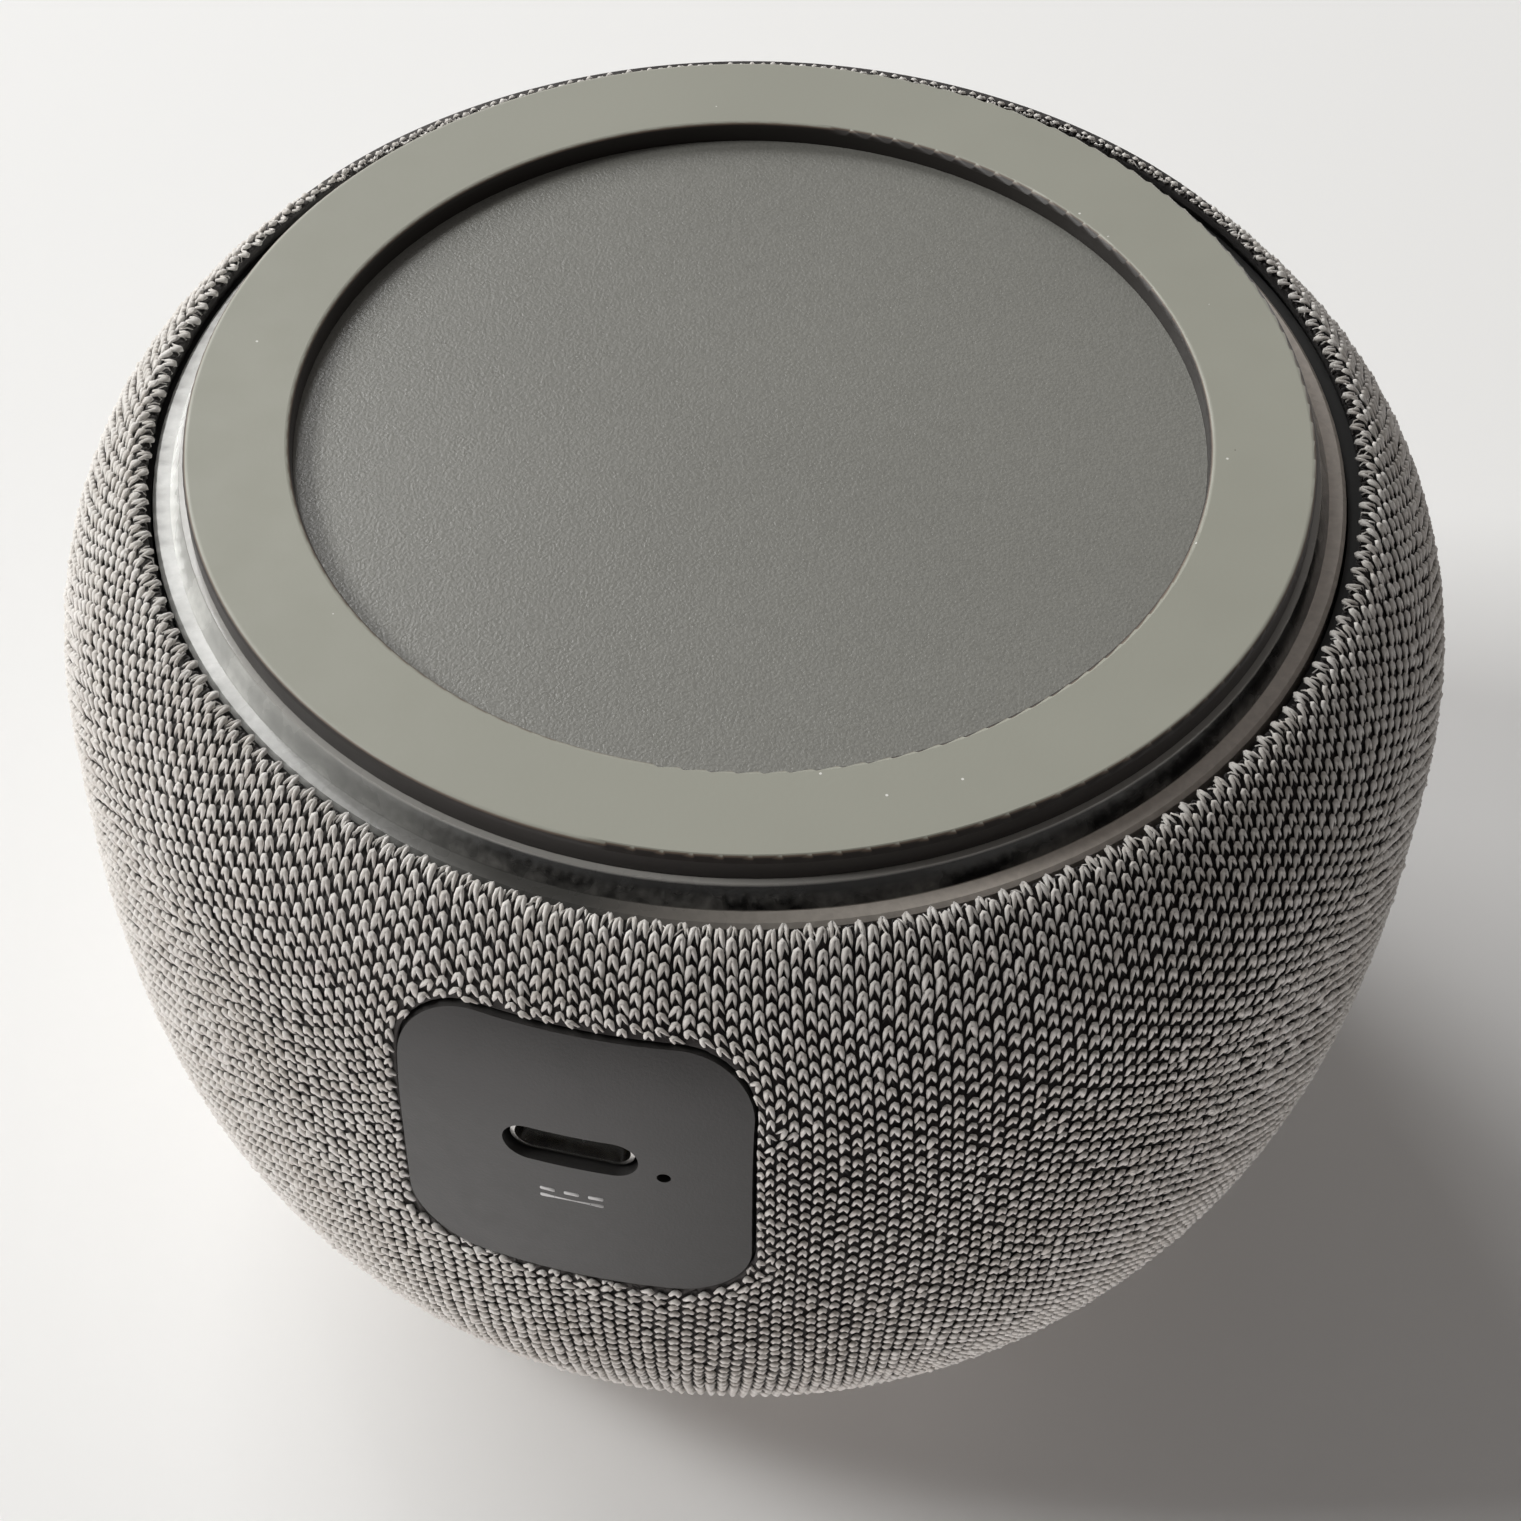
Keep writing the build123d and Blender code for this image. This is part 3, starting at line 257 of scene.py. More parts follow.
def acrylic():
    """Polished acrylic over a dark seat, in opaque colours: its wall is mottled where it is glued. Painted light makes
    the wall and flange pale and whitish on one side, and the flange beige on the opposite side; elsewhere the flange is
    dark. The ledge is pale, a painted highlight.
    """
    g = Graph("clear_acrylic", IOR=1.49)
    g.shader.inputs["Coat Weight"].default_value = 0.6
    g.shader.inputs["Coat Roughness"].default_value = 0.14
    depth = g.axis("Z")
    # Painted light: on one side the wall and flange are painted pale and whitish.
    painted_light_side_mask = g.between(g.along(PAINTED_LIGHT_SIDE), 0.004, 0.03)
    # Painted light: on the opposite side the flange is painted beige.
    opposite = g.between(g.along(tuple(-c for c in PAINTED_LIGHT_SIDE)), 0.002, 0.028)
    coarse = g.ramp(g.noise(190, 3, 0.6), (0.38, 0.0), (0.62, 1.0))
    fine = g.noise(1500, 3, 0.6)
    speckled = g.math("MULTIPLY", coarse, g.ramp(fine, (0.3, 0.45), (0.65, 1.0)))
    foot = g.math("MULTIPLY", speckled, g.between(depth, 0.0027, 0.0035))
    wall = g.blend(foot, (0.006, 0.006, 0.006), (0.17, 0.165, 0.155))
    wall = g.blend(painted_light_side_mask, wall, g.blend(speckled, (0.5, 0.5, 0.48), (0.7, 0.7, 0.67)))
    flange = g.blend(opposite, (0.075, 0.073, 0.068), (0.78, 0.71, 0.64))
    flange = g.blend(painted_light_side_mask, flange, (0.56, 0.56, 0.54))
    flange = g.blend(g.math("MULTIPLY", fine, 0.4), flange, (0.05, 0.05, 0.047))
    body = g.blend(g.between(depth, 0.0038, 0.0039), wall, flange)
    # Painted highlight: the ledge under the foot is pale.
    g.colour(g.blend(g.between(depth, 0.0021, 0.00225), (0.38, 0.37, 0.35), body))
    g.roughness(coarse, 0.2, 0.34)
    g.bump(fine, 0.00002)
    return g


def yarn(name, pale, deep, fuzz, rough=(0.82, 0.95), stray_and_lit_tone=None):
    """Soft textured yarn: tone changes from stitch to stitch and over patches, with twisted fibres on each. Where a
    paler tone is given, the yarn turns to it on one side and high on the body: partly stray pale fibres where the
    sleeve is slack, partly painted light.
    """
    g = Graph(name, Roughness=0.9)
    g.shader.inputs["Sheen Weight"].default_value = fuzz
    g.shader.inputs["Sheen Roughness"].default_value = 0.55
    g.shader.inputs["Specular IOR Level"].default_value = 0.2
    stitch = g.noise(820, 1)
    patch = g.noise(70, 2)
    tone = g.math("ADD", g.math("MULTIPLY", stitch, 0.65), g.math("MULTIPLY", patch, 0.35))
    fibre = g.noise(9000, 3, 0.7)
    body = g.ramp(tone, (0.36, deep), (0.62, pale))
    if stray_and_lit_tone:
        # Painted light, with stray pale fibres: the yarn turns paler on one side and high on the body.
        aside = g.between(g.along(tuple(-c for c in (*SLEEVE_SHIFT[1], 0.0))), 0.004, 0.05)
        slack = g.math("ADD", g.math("MULTIPLY", aside, 0.55), g.math("MULTIPLY", g.between(g.axis("Z"), 0.024, 0.05), 0.45))
        body = g.blend(slack, body, stray_and_lit_tone)
    g.colour(g.blend(g.math("MULTIPLY", fibre, 0.36), body, shade(deep, 0.72)))
    g.roughness(fibre, *rough)
    g.bump(fibre, 0.00005)
    return g


def board():
    g = Graph("circuit_board", Roughness=0.4)
    tracks = g.cells(700, "DISTANCE_TO_EDGE")
    mask = (0.006, 0.02, 0.016)
    g.colour(g.ramp(tracks, (0.04, (0.015, 0.05, 0.038)), (0.09, mask)))
    g.roughness(g.noise(600, 2), 0.3, 0.45)
    g.bump(tracks, 0.00002)
    return g


def cloth(name, colour):
    g = Graph(name, Roughness=0.85)
    warp = g.noise(2600, 2, 0.5, g.stretched((1, 0.15, 1)))
    weft = g.noise(2600, 2, 0.5, g.stretched((0.15, 1, 1)))
    weave = g.math("MAXIMUM", warp, weft)
    g.colour(g.ramp(weave, (0.35, shade(colour, 0.7)), (0.7, shade(colour, 1.15))))
    g.roughness(weave, 0.75, 0.95)
    g.bump(weave, 0.00004)
    return g


LIGHT_YARN = yarn("light_yarn", (0.82, 0.797, 0.768), (0.65, 0.615, 0.575), 0.3)
# The dark yarn's paler tone is partly stray fibres and partly painted light.
DARK_YARN = yarn("dark_yarn", (0.045, 0.04, 0.039), (0.026, 0.023, 0.023), 0.08, stray_and_lit_tone=(0.24, 0.23, 0.22))
MARK_INK = moulded("mark_ink", (0.42, 0.42, 0.42), (0.5, 0.65), 2600, 0.000004)
FINISHES = {
    "foot_silicone": silicone(),
    "cover_plastic": cover(),
    "clear_acrylic": acrylic(),
    "knit_fabric": DARK_YARN,
    "port_plastic": moulded("port_plastic", (0.023, 0.022, 0.0215), (0.36, 0.48), 4200, 0.000016),
    "panel_plastic": moulded("panel_plastic", (0.2, 0.2, 0.192), (0.42, 0.55), 4600, 0.000018),
    "button_plastic": moulded("button_plastic", (0.235, 0.235, 0.226), (0.4, 0.52), 5200, 0.000012),
    "shell_plastic": moulded("shell_plastic", (0.03, 0.03, 0.03), (0.5, 0.65)),
    "chassis_plastic": moulded("chassis_plastic", (0.035, 0.035, 0.036), (0.45, 0.6)),
    "chamber_plastic": moulded("chamber_plastic", (0.05, 0.05, 0.052), (0.5, 0.65)),
    "circuit_board": board(),
    "led_package": moulded("led_package", (0.7, 0.69, 0.63), (0.3, 0.45), 6000, 0.000004),
    "screw_steel": metal("screw_steel", (0.5, 0.5, 0.49)),
    "usb_steel": metal("usb_steel", (0.62, 0.61, 0.59), (0.16, 0.28), (1, 0.1, 1)),
    "black_polymer": moulded("black_polymer", (0.015, 0.015, 0.016), (0.4, 0.52)),
    "gold_contact": metal("gold_contact", (0.78, 0.57, 0.24), (0.15, 0.25)),
    "shield_tin": metal("shield_tin", (0.58, 0.58, 0.57), (0.28, 0.42)),
    "chip_epoxy": moulded("chip_epoxy", (0.02, 0.02, 0.021), (0.55, 0.7)),
    "capacitor_can": metal("capacitor_can", (0.66, 0.66, 0.66), (0.25, 0.35)),
    "basket_steel": metal("basket_steel", (0.1, 0.1, 0.1), (0.4, 0.55)),
    "gasket_foam": moulded("gasket_foam", (0.02, 0.02, 0.02), (0.85, 0.95), 1800, 0.00008),
    "wire_jacket": moulded("wire_jacket", (0.3, 0.02, 0.018), (0.4, 0.55)),
    "ferrite": moulded("ferrite", (0.045, 0.043, 0.042), (0.6, 0.75), 1500, 0.00003),
    "pole_steel": metal("pole_steel", (0.42, 0.42, 0.43), (0.3, 0.42)),
    "coil_copper": metal("coil_copper", (0.7, 0.32, 0.16), (0.25, 0.35), (1, 1, 12)),
    "cone_paper": moulded("cone_paper", (0.025, 0.024, 0.024), (0.75, 0.9), 1300, 0.00006),
    "surround_rubber": moulded("surround_rubber", (0.015, 0.015, 0.015), (0.45, 0.6), 2500, 0.00001),
    "spider_cloth": cloth("spider_cloth", (0.5, 0.36, 0.13)),
    "ribbon_polyimide": moulded("ribbon_polyimide", (0.45, 0.2, 0.035), (0.25, 0.38), 900, 0.00001),
}

for node in NODES.values():
    for socket in node.material_slots:
        socket.material = FINISHES[socket.material.name.split(".")[0]].material


# ---------------------------------------------------------------- meshes
def piece(name, points, faces, graph, body="housing"):
    """A smooth mesh piece from points in metres and faces of one size, on its body and slot."""
    faces = np.asarray(faces, np.int32)
    mesh = bpy.data.meshes.new(name)
    mesh.vertices.add(len(points))
    mesh.vertices.foreach_set("co", np.asarray(points, np.float32).ravel())
    mesh.loops.add(faces.size)
    mesh.loops.foreach_set("vertex_index", faces.ravel())
    mesh.polygons.add(len(faces))
    mesh.polygons.foreach_set("loop_start", np.arange(len(faces), dtype=np.int32) * faces.shape[1])
    mesh.update(calc_edges=True)
    mesh.shade_smooth()
    made = bpy.data.objects.new(name, mesh)
    bpy.context.scene.collection.objects.link(made)
    made.data.materials.append(graph.material)
    if body:
        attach(made, body)
    return made


# ---------------------------------------------------------------- the knit's face
def body_radius(z):
    low = z < WIDEST_Z
    reach = np.where(low, LOWER_REACH, UPPER_REACH)
    power = np.where(low, LOWER_POWER, UPPER_POWER)
    share = np.clip(np.abs(z - WIDEST_Z) / reach, 0.0, 1.0)
    return BODY_RADIUS * (1.0 - share**power) ** (1.0 / power)


def smooth_run(values, reach):
    """A running mean whose ends stay put."""
    core = np.hanning(2 * reach + 3)[1:-1]
    core /= core.sum()
    padded = np.concatenate([
        2 * values[0] - values[reach:0:-1], values, 2 * values[-1] - values[-2:-reach - 2:-1]
    ])
    return np.convolve(padded, core, "valid")


def knit_profile():
    """Arc length, radius, height and outward normal along the knit's face, from inside its hem, round the crest and up the body to the panel's edge. Arc length is nought on the crest."""
    heights = np.linspace(HEM_BOTTOM_Z, LIP_Z, 500)
    r = np.concatenate([[HEM_RADIUS, HEM_RADIUS], body_radius(heights), [LIP_RADIUS, LIP_RADIUS]])
    z = np.concatenate([[HEM_TOP_Z, HEM_BOTTOM_Z], heights, [LIP_Z - 0.25, LIP_END_Z]])
    along = np.concatenate([[0.0], np.cumsum(np.hypot(np.diff(r), np.diff(z)))])
    even = np.linspace(0.0, along[-1], int(along[-1] / 0.05))
    r = smooth_run(np.interp(even, along, r), 11)
    z = smooth_run(np.interp(even, along, z), 11)
    arc = np.concatenate([[0.0], np.cumsum(np.hypot(np.diff(r), np.diff(z)))])
    slope_r, slope_z = np.gradient(r, arc), np.gradient(z, arc)
    length = np.hypot(slope_r, slope_z)
    crest = arc[np.argmin(z)] + 0.25
    return arc - crest, r, z, slope_z / length, -slope_r / length


ARC, ARC_R, ARC_Z, ARC_NR, ARC_NZ = knit_profile()


def smoothed(share):
    share = np.clip(share, 0.0, 1.0)
    return share * share * (3.0 - 2.0 * share)


def on_knit(angle, arc, rise):
    """Points in millimetres at an angle, an arc length and a rise over the knit's face, which sits a little to one side."""
    far = smoothed((np.cos(angle - FAR_SIDE) - 0.2) / 0.6) * smoothed((11.0 - arc) / 7.0)
    rise = rise - TAUT_SINK * far
    r = np.interp(arc, ARC, ARC_R) + rise * np.interp(arc, ARC, ARC_NR)
    z = np.interp(arc, ARC, ARC_Z) + rise * np.interp(arc, ARC, ARC_NZ)
    near_crest, widest = SLEEVE_SHIFT[0]
    shift = np.interp(z, (HEM_BOTTOM_Z, WIDEST_Z, LIP_Z - 12.0, LIP_Z - 2.0), (near_crest, widest, 0.3 * widest, 0.0))
    along_x, along_y = SLEEVE_SHIFT[1]
    return np.stack([r * np.cos(angle) + shift * along_x, r * np.sin(angle) + shift * along_y, z], axis=-1)


def opening_distance(points):
    """How far points lie outside the port plate's opening, seen along its axis, and the way out of it."""
    x = points[..., 0]
    z = points[..., 2] - PLATE_CENTRE_Z
    qx = np.abs(x) - (OPENING_HALF[0] - OPENING_CORNER)
    qz = np.abs(z) - (OPENING_HALF[1] - OPENING_CORNER)
    far = np.hypot(np.maximum(qx, 0), np.maximum(qz, 0))
    distance = far + np.minimum(np.maximum(qx, qz), 0) - OPENING_CORNER
    out_x = np.where(far > 1e-9, np.maximum(qx, 0) / np.maximum(far, 1e-9), qx > qz) * np.sign(x)
    out_z = np.where(far > 1e-9, np.maximum(qz, 0) / np.maximum(far, 1e-9), qx <= qz) * np.sign(z)
    slack = 0.55 * np.exp(-((x + 11.6) ** 2 + (z - 12.0) ** 2) / 4.5)    # the cloth stands off one corner
    distance = distance - slack
    return np.where(points[..., 1] > 0, distance, 99.0), out_x, out_z


def drawn_aside(angle, arc):
    """The cloth round the opening is pushed out from it, so its stitches crowd along the edge."""
    points = on_knit(angle, arc, 0.0)
    distance, out_x, out_z = opening_distance(points)
    push = 1.15 * np.exp(-np.maximum(distance + 1.15, 0.0) / 3.2)
    radius = np.hypot(points[..., 0], points[..., 1])
    climb = np.interp(arc, ARC, ARC_NR)
    return (
        angle - push * out_x / radius,
        arc + push * out_z / np.maximum(climb, 0.4),
    )


def slackness(angle, arc):
    """From nought to one: the yarn is fuller where the sleeve is less stretched, high on the body and on one side."""
    aside = np.clip(-np.cos(angle) * SLEEVE_SHIFT[1][0] - np.sin(angle) * SLEEVE_SHIFT[1][1], 0.0, 1.0)
    return np.clip(0.9 * aside + 0.8 * np.clip((arc - 24.0) / 30.0, 0.0, 1.0), 0.0, 1.0)


def wander(angle, arc):
    """Slow, uneven draw of the whole sleeve: the wales lean and the courses rise and fall."""
    lean = 0.9 * np.sin(2 * angle + 0.6) * np.sin(arc / 34.0) + 0.45 * np.sin(5 * angle + 1.9 + arc / 21.0)
    lean += 0.16 * np.sin(17 * angle + arc / 6.3)
    rise = 0.55 * np.sin(3 * angle + 2.4) + 0.28 * np.sin(7 * angle + arc / 17.0) + 0.1 * np.sin(23 * angle)
    fade = np.clip(arc / 7.0, 0.0, 1.0)
    return angle + lean * fade / 50.0, arc + rise * fade


# ---------------------------------------------------------------- stitches
def tube(line, radii, sides):
    """One closed tube through local points: centres, offsets from them at unit scale, and triangles."""
    line = np.asarray(line, float)
    ends, inner = (line[0], line[-1]), line[1:-1]
    step = np.gradient(line, axis=0)[1:-1]
    flat = np.stack([-step[:, 1], step[:, 0], np.zeros(len(step))], axis=1)
    flat /= np.linalg.norm(flat, axis=1)[:, None]
    rise = np.array([0.0, 0.0, 1.0])
    centres, offsets = [ends[0]], [np.zeros(3)]
    for point, side, radius in zip(inner, flat, radii):
        for k in range(sides):
            turn = 2 * math.pi * k / sides
            centres.append(point)
            offsets.append(radius * (math.cos(turn) * side + math.sin(turn) * rise))
    centres.append(ends[1])
    offsets.append(np.zeros(3))
    last = len(centres) - 1
    faces = []
    for k in range(sides):
        after = (k + 1) % sides
        faces.append((0, 1 + after, 1 + k))
        for ring in range(len(inner) - 1):
            a, b = 1 + ring * sides + k, 1 + ring * sides + after
            c, d = a + sides, b + sides
            faces += [(a, b, c), (b, d, c)]
        end = 1 + (len(inner) - 1) * sides
        faces.append((last, end + k, end + after))
    return np.array(centres), np.array(offsets), np.array(faces)


def mirrored(half):
    """A loop's line from its left leg over the apex to its right leg."""
    half = np.array(half, float)
    return np.concatenate([half, half[-2::-1] * [-1.0, 1.0, 1.0]])


# across (shares of the wale), up the wale, rise; millimetres
LIGHT_LOOP = mirrored([
    (-0.36, 1.32, -0.36), (-0.31, 0.88, -0.12), (-0.23, 0.46, 0.0), (-0.13, 0.12, 0.08), (0.0, 0.02, 0.1),
])
LIGHT_RADII = [0.11, 0.175, 0.2, 0.2, 0.2, 0.175, 0.11]
DARK_LOOP = mirrored([(-0.32, 0.9, -0.46), (-0.25, 0.5, -0.3), (-0.13, 0.1, -0.25), (0.0, -0.02, -0.24)])
DARK_RADII = [0.12, 0.135, 0.14, 0.135, 0.12]


def stitches(name, wales, first, line, radii, sides, graph, low, high, jitter):
    """All the loops of one yarn in a band of wales, as one mesh. first is the offset up the even wales, in courses."""
    centres, offsets, faces = tube(line, radii, sides)
    rows = np.arange(int((high - low) / COURSE) + 1)
    wale, row = (grid.ravel() for grid in np.meshgrid(wales, rows, indexing="ij"))
    arc = low + (row + first + 0.5 * (wale % 2)) * COURSE
    keep = arc < high
    wale, arc = wale[keep], arc[keep]
    count = len(wale)
    draws = RNG.normal(size=(count, 7))
    arc = arc + draws[:, 0] * 0.045 * jitter
    angle = wale * (2 * math.pi / WALES) + draws[:, 1] * 0.03 * jitter / np.interp(arc, ARC, ARC_R)
    pitch = 2 * math.pi * np.interp(arc, ARC, ARC_R) / WALES
    fat = (pitch / 0.9) ** 0.75 * (1.0 + 0.06 * draws[:, 2]) * (1.0 + 0.22 * slackness(angle, arc))
    tilt = draws[:, 3] * 0.07 * jitter
    length = 1.0 + 0.05 * draws[:, 4]
    near, _, _ = opening_distance(on_knit(angle, arc, 0.0))
    rough = np.exp(-np.maximum(near, 0) / 1.6)
    tilt = tilt * (1.0 + 4.0 * rough)
    local = centres[None, :, :] * np.stack([pitch, length, np.ones(count)], axis=1)[:, None, :]
    side = np.sign(centres[:, 0])[None, :] * draws[:, 5, None]
    leg = 1.0 + 0.13 * jitter * side
    local = local + offsets[None, :, :] * (fat[:, None] * leg)[..., None]
    local[..., 1] *= 1.0 + 0.07 * jitter * side
    crest = 0.08 * np.exp(-(((arc - 0.2) / 1.1) ** 2))
    local[..., 2] += 0.03 * jitter * draws[:, 6, None] + crest[:, None]
    across, up = local[..., 0], local[..., 1] - 0.45
    cos, sin = np.cos(tilt)[:, None], np.sin(tilt)[:, None]
    across, up = across * cos - up * sin, across * sin + up * cos + 0.45
    vertex_arc = arc[:, None] + up
    vertex_angle = angle[:, None] + across / np.interp(vertex_arc, ARC, ARC_R)
    vertex_angle, vertex_arc = wander(vertex_angle, vertex_arc)
    vertex_angle, vertex_arc = drawn_aside(vertex_angle, vertex_arc)
    points = on_knit(vertex_angle, vertex_arc, local[..., 2])
    distance, out_x, out_z = opening_distance(points)
    tuck = 0.4 * np.exp(-np.maximum(distance, 0) / 0.4)
    whole = (distance.mean(axis=1) > 0.12) & (distance.min(axis=1) > -0.6)
    back = np.maximum(0.04 - distance, 0.0) * (distance < 9.0)
    vertex_angle = vertex_angle - back * out_x / np.interp(vertex_arc, ARC, ARC_R)
    vertex_arc = vertex_arc + back * out_z / np.maximum(np.interp(vertex_arc, ARC, ARC_NR), 0.4)
    points = on_knit(vertex_angle, vertex_arc, local[..., 2] - tuck)
    points = points[whole]
    count = len(points)
    index = faces[None, :, :] + (np.arange(count) * len(centres))[:, None, None]
    return piece(name, points.reshape(-1, 3) * MM, index.reshape(-1, 3), graph)


def ground():
    """The dark ground of the knit: a thin closed sheet with the port plate's opening in it."""
    columns, rows = 480, 120
    angles = np.arange(columns) * 2 * math.pi / columns
    arcs = np.linspace(ARC[0], ARC[-1], rows)
    angle, arc = np.meshgrid(angles, arcs, indexing="ij")
    face = on_knit(angle, arc, YARN_BASE)
    distance, out_x, out_z = opening_distance(face)
    ids = np.arange(columns * rows).reshape(columns, rows)
    a, b = ids[:, :-1], np.roll(ids, -1, axis=0)[:, :-1]
    c, d = np.roll(ids, -1, axis=0)[:, 1:], ids[:, 1:]
    quads = np.stack([a, b, c, d], axis=-1).reshape(-1, 4)
    inside = (distance < 0).ravel()
    quads = quads[~inside[quads].all(axis=1)]
    pull = np.where((distance < 0) & (distance > -3.0), -distance, 0.0)
    climb = np.maximum(np.interp(arc, ARC, ARC_NR), 0.4)
    radius = np.interp(arc, ARC, ARC_R)
    angle = angle - pull * out_x / radius
    arc = arc + pull * out_z / climb
    outer = on_knit(angle, arc, YARN_BASE).reshape(-1, 3)
    inner = on_knit(angle, arc, YARN_BASE - KNIT_DEPTH).reshape(-1, 3)
    inner_quads = quads[:, ::-1] + len(outer)
    sides = np.stack([quads, np.roll(quads, -1, axis=1)], axis=-1).reshape(-1, 2)
    pair = np.sort(sides, axis=1)
    _, index, number = np.unique(pair, axis=0, return_index=True, return_counts=True)
    edge = sides[index[number == 1]]
    walls = np.stack([edge[:, 1], edge[:, 0], edge[:, 0] + len(outer), edge[:, 1] + len(outer)], axis=1)
    points = np.concatenate([outer, inner])
    faces = np.concatenate([quads, inner_quads, walls])
    used, faces = np.unique(faces, return_inverse=True)
    return piece("knit_ground", points[used] * MM, faces.reshape(-1, 4), DARK_YARN)


def rim_strands():
    """Stray light strands where the hem's first course goes over the crest."""
    line = [(0, -0.9, -0.35), (0.02, -0.6, -0.1), (0.03, -0.1, 0.03), (0.0, 0.4, 0.02), (0.0, 0.8, -0.3)]
    centres, offsets, faces = tube(line, [0.06, 0.08, 0.07], 4)
    count = WALES
    draws = RNG.normal(size=(count, 4))
    angle = (np.arange(count) + 0.5 + 0.25 * draws[:, 0]) * 2 * math.pi / count
    scale = 1.0 + 0.2 * draws[:, 1]
    local = centres[None] + offsets[None]
    slant = 0.4 * draws[:, 2]
    arc = local[..., 1] * scale[:, None] - 0.25 + 0.15 * draws[:, 3, None]
    across = local[..., 0] + slant[:, None] * local[..., 1]
    vertex_angle = angle[:, None] + across / HEM_RADIUS
    points = on_knit(vertex_angle, arc, local[..., 2])
    index = faces[None] + (np.arange(count) * len(centres))[:, None, None]
    return piece("knit_rim", points.reshape(-1, 3) * MM, index.reshape(-1, 3), LIGHT_YARN)


LIGHT_FROM, KNIT_TO = -0.75, float(ARC[-1]) - 1.0
DARK_FROM = float(ARC[0]) + 0.5
LIGHT_BANDS = 9
for band in range(LIGHT_BANDS):
    wales = np.arange(band * WALES // LIGHT_BANDS, (band + 1) * WALES // LIGHT_BANDS)
    stitches(
        f"knit_light_{band}", wales, 0.0, LIGHT_LOOP, LIGHT_RADII, 4, LIGHT_YARN, LIGHT_FROM, KNIT_TO, 1.0)
DARK_BANDS = 5
for band in range(DARK_BANDS):
    wales = np.arange(band * WALES // DARK_BANDS, (band + 1) * WALES // DARK_BANDS)
    stitches(
        f"knit_dark_{band}", wales, 0.5, DARK_LOOP, DARK_RADII, 3, DARK_YARN, DARK_FROM, KNIT_TO, 1.0)
rim_strands()
sleeve = ground()
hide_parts("fabric_sleeve")


# ---------------------------------------------------------------- parts of the driver that flex
def turned(name, outline, graph):
    """A closed outline of radii and heights in millimetres, turned round the part's axis."""
    steps = 120
    r, z = np.asarray(outline, float).T
    turn = np.arange(steps)[:, None] * 2 * math.pi / steps
    points = np.stack([r * np.cos(turn), r * np.sin(turn), z + 0 * turn], axis=-1).reshape(-1, 3) * MM
    ids = np.arange(steps * len(r)).reshape(steps, len(r))
    after, beside = np.roll(ids, -1, axis=0), np.roll(ids, -1, axis=1)
    both = np.roll(after, -1, axis=1)
    return piece(name, points, np.stack([ids, after, both, beside], axis=-1).reshape(-1, 4), graph, None)


def flexes(made):
    """Bakes the piece's placement into its mesh; on the real driver it is held at one radius and moves with the
    diaphragm at the other.
    """
    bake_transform(made)


ROLL_MIDDLE, ROLL_RADIUS, ROLL_THICKNESS = 20.9, 1.7, 0.5
low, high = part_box("surround")
roll_z = low.z / MM
arch = [math.radians(a) for a in np.linspace(180, 0, 25)]
under = [(ROLL_MIDDLE + ROLL_RADIUS * math.cos(a), roll_z + ROLL_RADIUS * math.sin(a)) for a in arch]
outer = ROLL_RADIUS + ROLL_THICKNESS
over = [(ROLL_MIDDLE + outer * math.cos(a), roll_z + max(ROLL_THICKNESS, outer * math.sin(a))) for a in reversed(arch)]
lips = (18.2, 24.4)
outline = [(lips[0], roll_z)] + under + [(lips[1], roll_z), (lips[1], roll_z + ROLL_THICKNESS)] + over
outline += [(lips[0], roll_z + ROLL_THICKNESS)]
roll = turned("surround_roll", outline, FINISHES["surround_rubber"])
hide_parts("surround")
flexes(roll)

low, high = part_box("spider")
spider_radii, spider_z, wave, thickness = (8.05, 15.3), low.z / MM, 0.5, 0.35
across = np.linspace(*spider_radii, 65)
folds = 0.5 - 0.5 * np.cos((across - across[0]) / (across[-1] - across[0]) * 8 * math.pi)
outline = [(r, spider_z + wave * f) for r, f in zip(across, folds)]
outline += [(r, z + thickness) for r, z in reversed(outline)]
corrugated = turned("spider_disc", outline, FINISHES["spider_cloth"])
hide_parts("spider")
flexes(corrugated)


# ---------------------------------------------------------------- printed marks
def cast_on(node_name, points, direction):
    """Where rays from points in one direction meet a CAD node, in metres."""
    node = NODES[node_name]
    tree = BVHTree.FromPolygons(
        [v.co for v in node.data.vertices], [tuple(p.vertices) for p in node.data.polygons]
    )
    found = []
    for point in points:
        hit, _, _, _ = tree.ray_cast(Vector(point), Vector(direction))
        found.append(hit if hit is not None else Vector(point))
    return found


def rounded_bar(centre, width, height, corner, steps=5):
    """Outline of a bar with round corners, anticlockwise."""
    out = []
    for sx, sy, start in ((1, 1, 0), (-1, 1, 90), (-1, -1, 180), (1, -1, 270)):
        for k in range(steps + 1):
            turn = math.radians(start + 90 * k / steps)
            out.append((
                centre[0] + sx * (width / 2 - corner) + corner * math.cos(turn),
                centre[1] + sy * (height / 2 - corner) + corner * math.sin(turn),
            ))
    return out


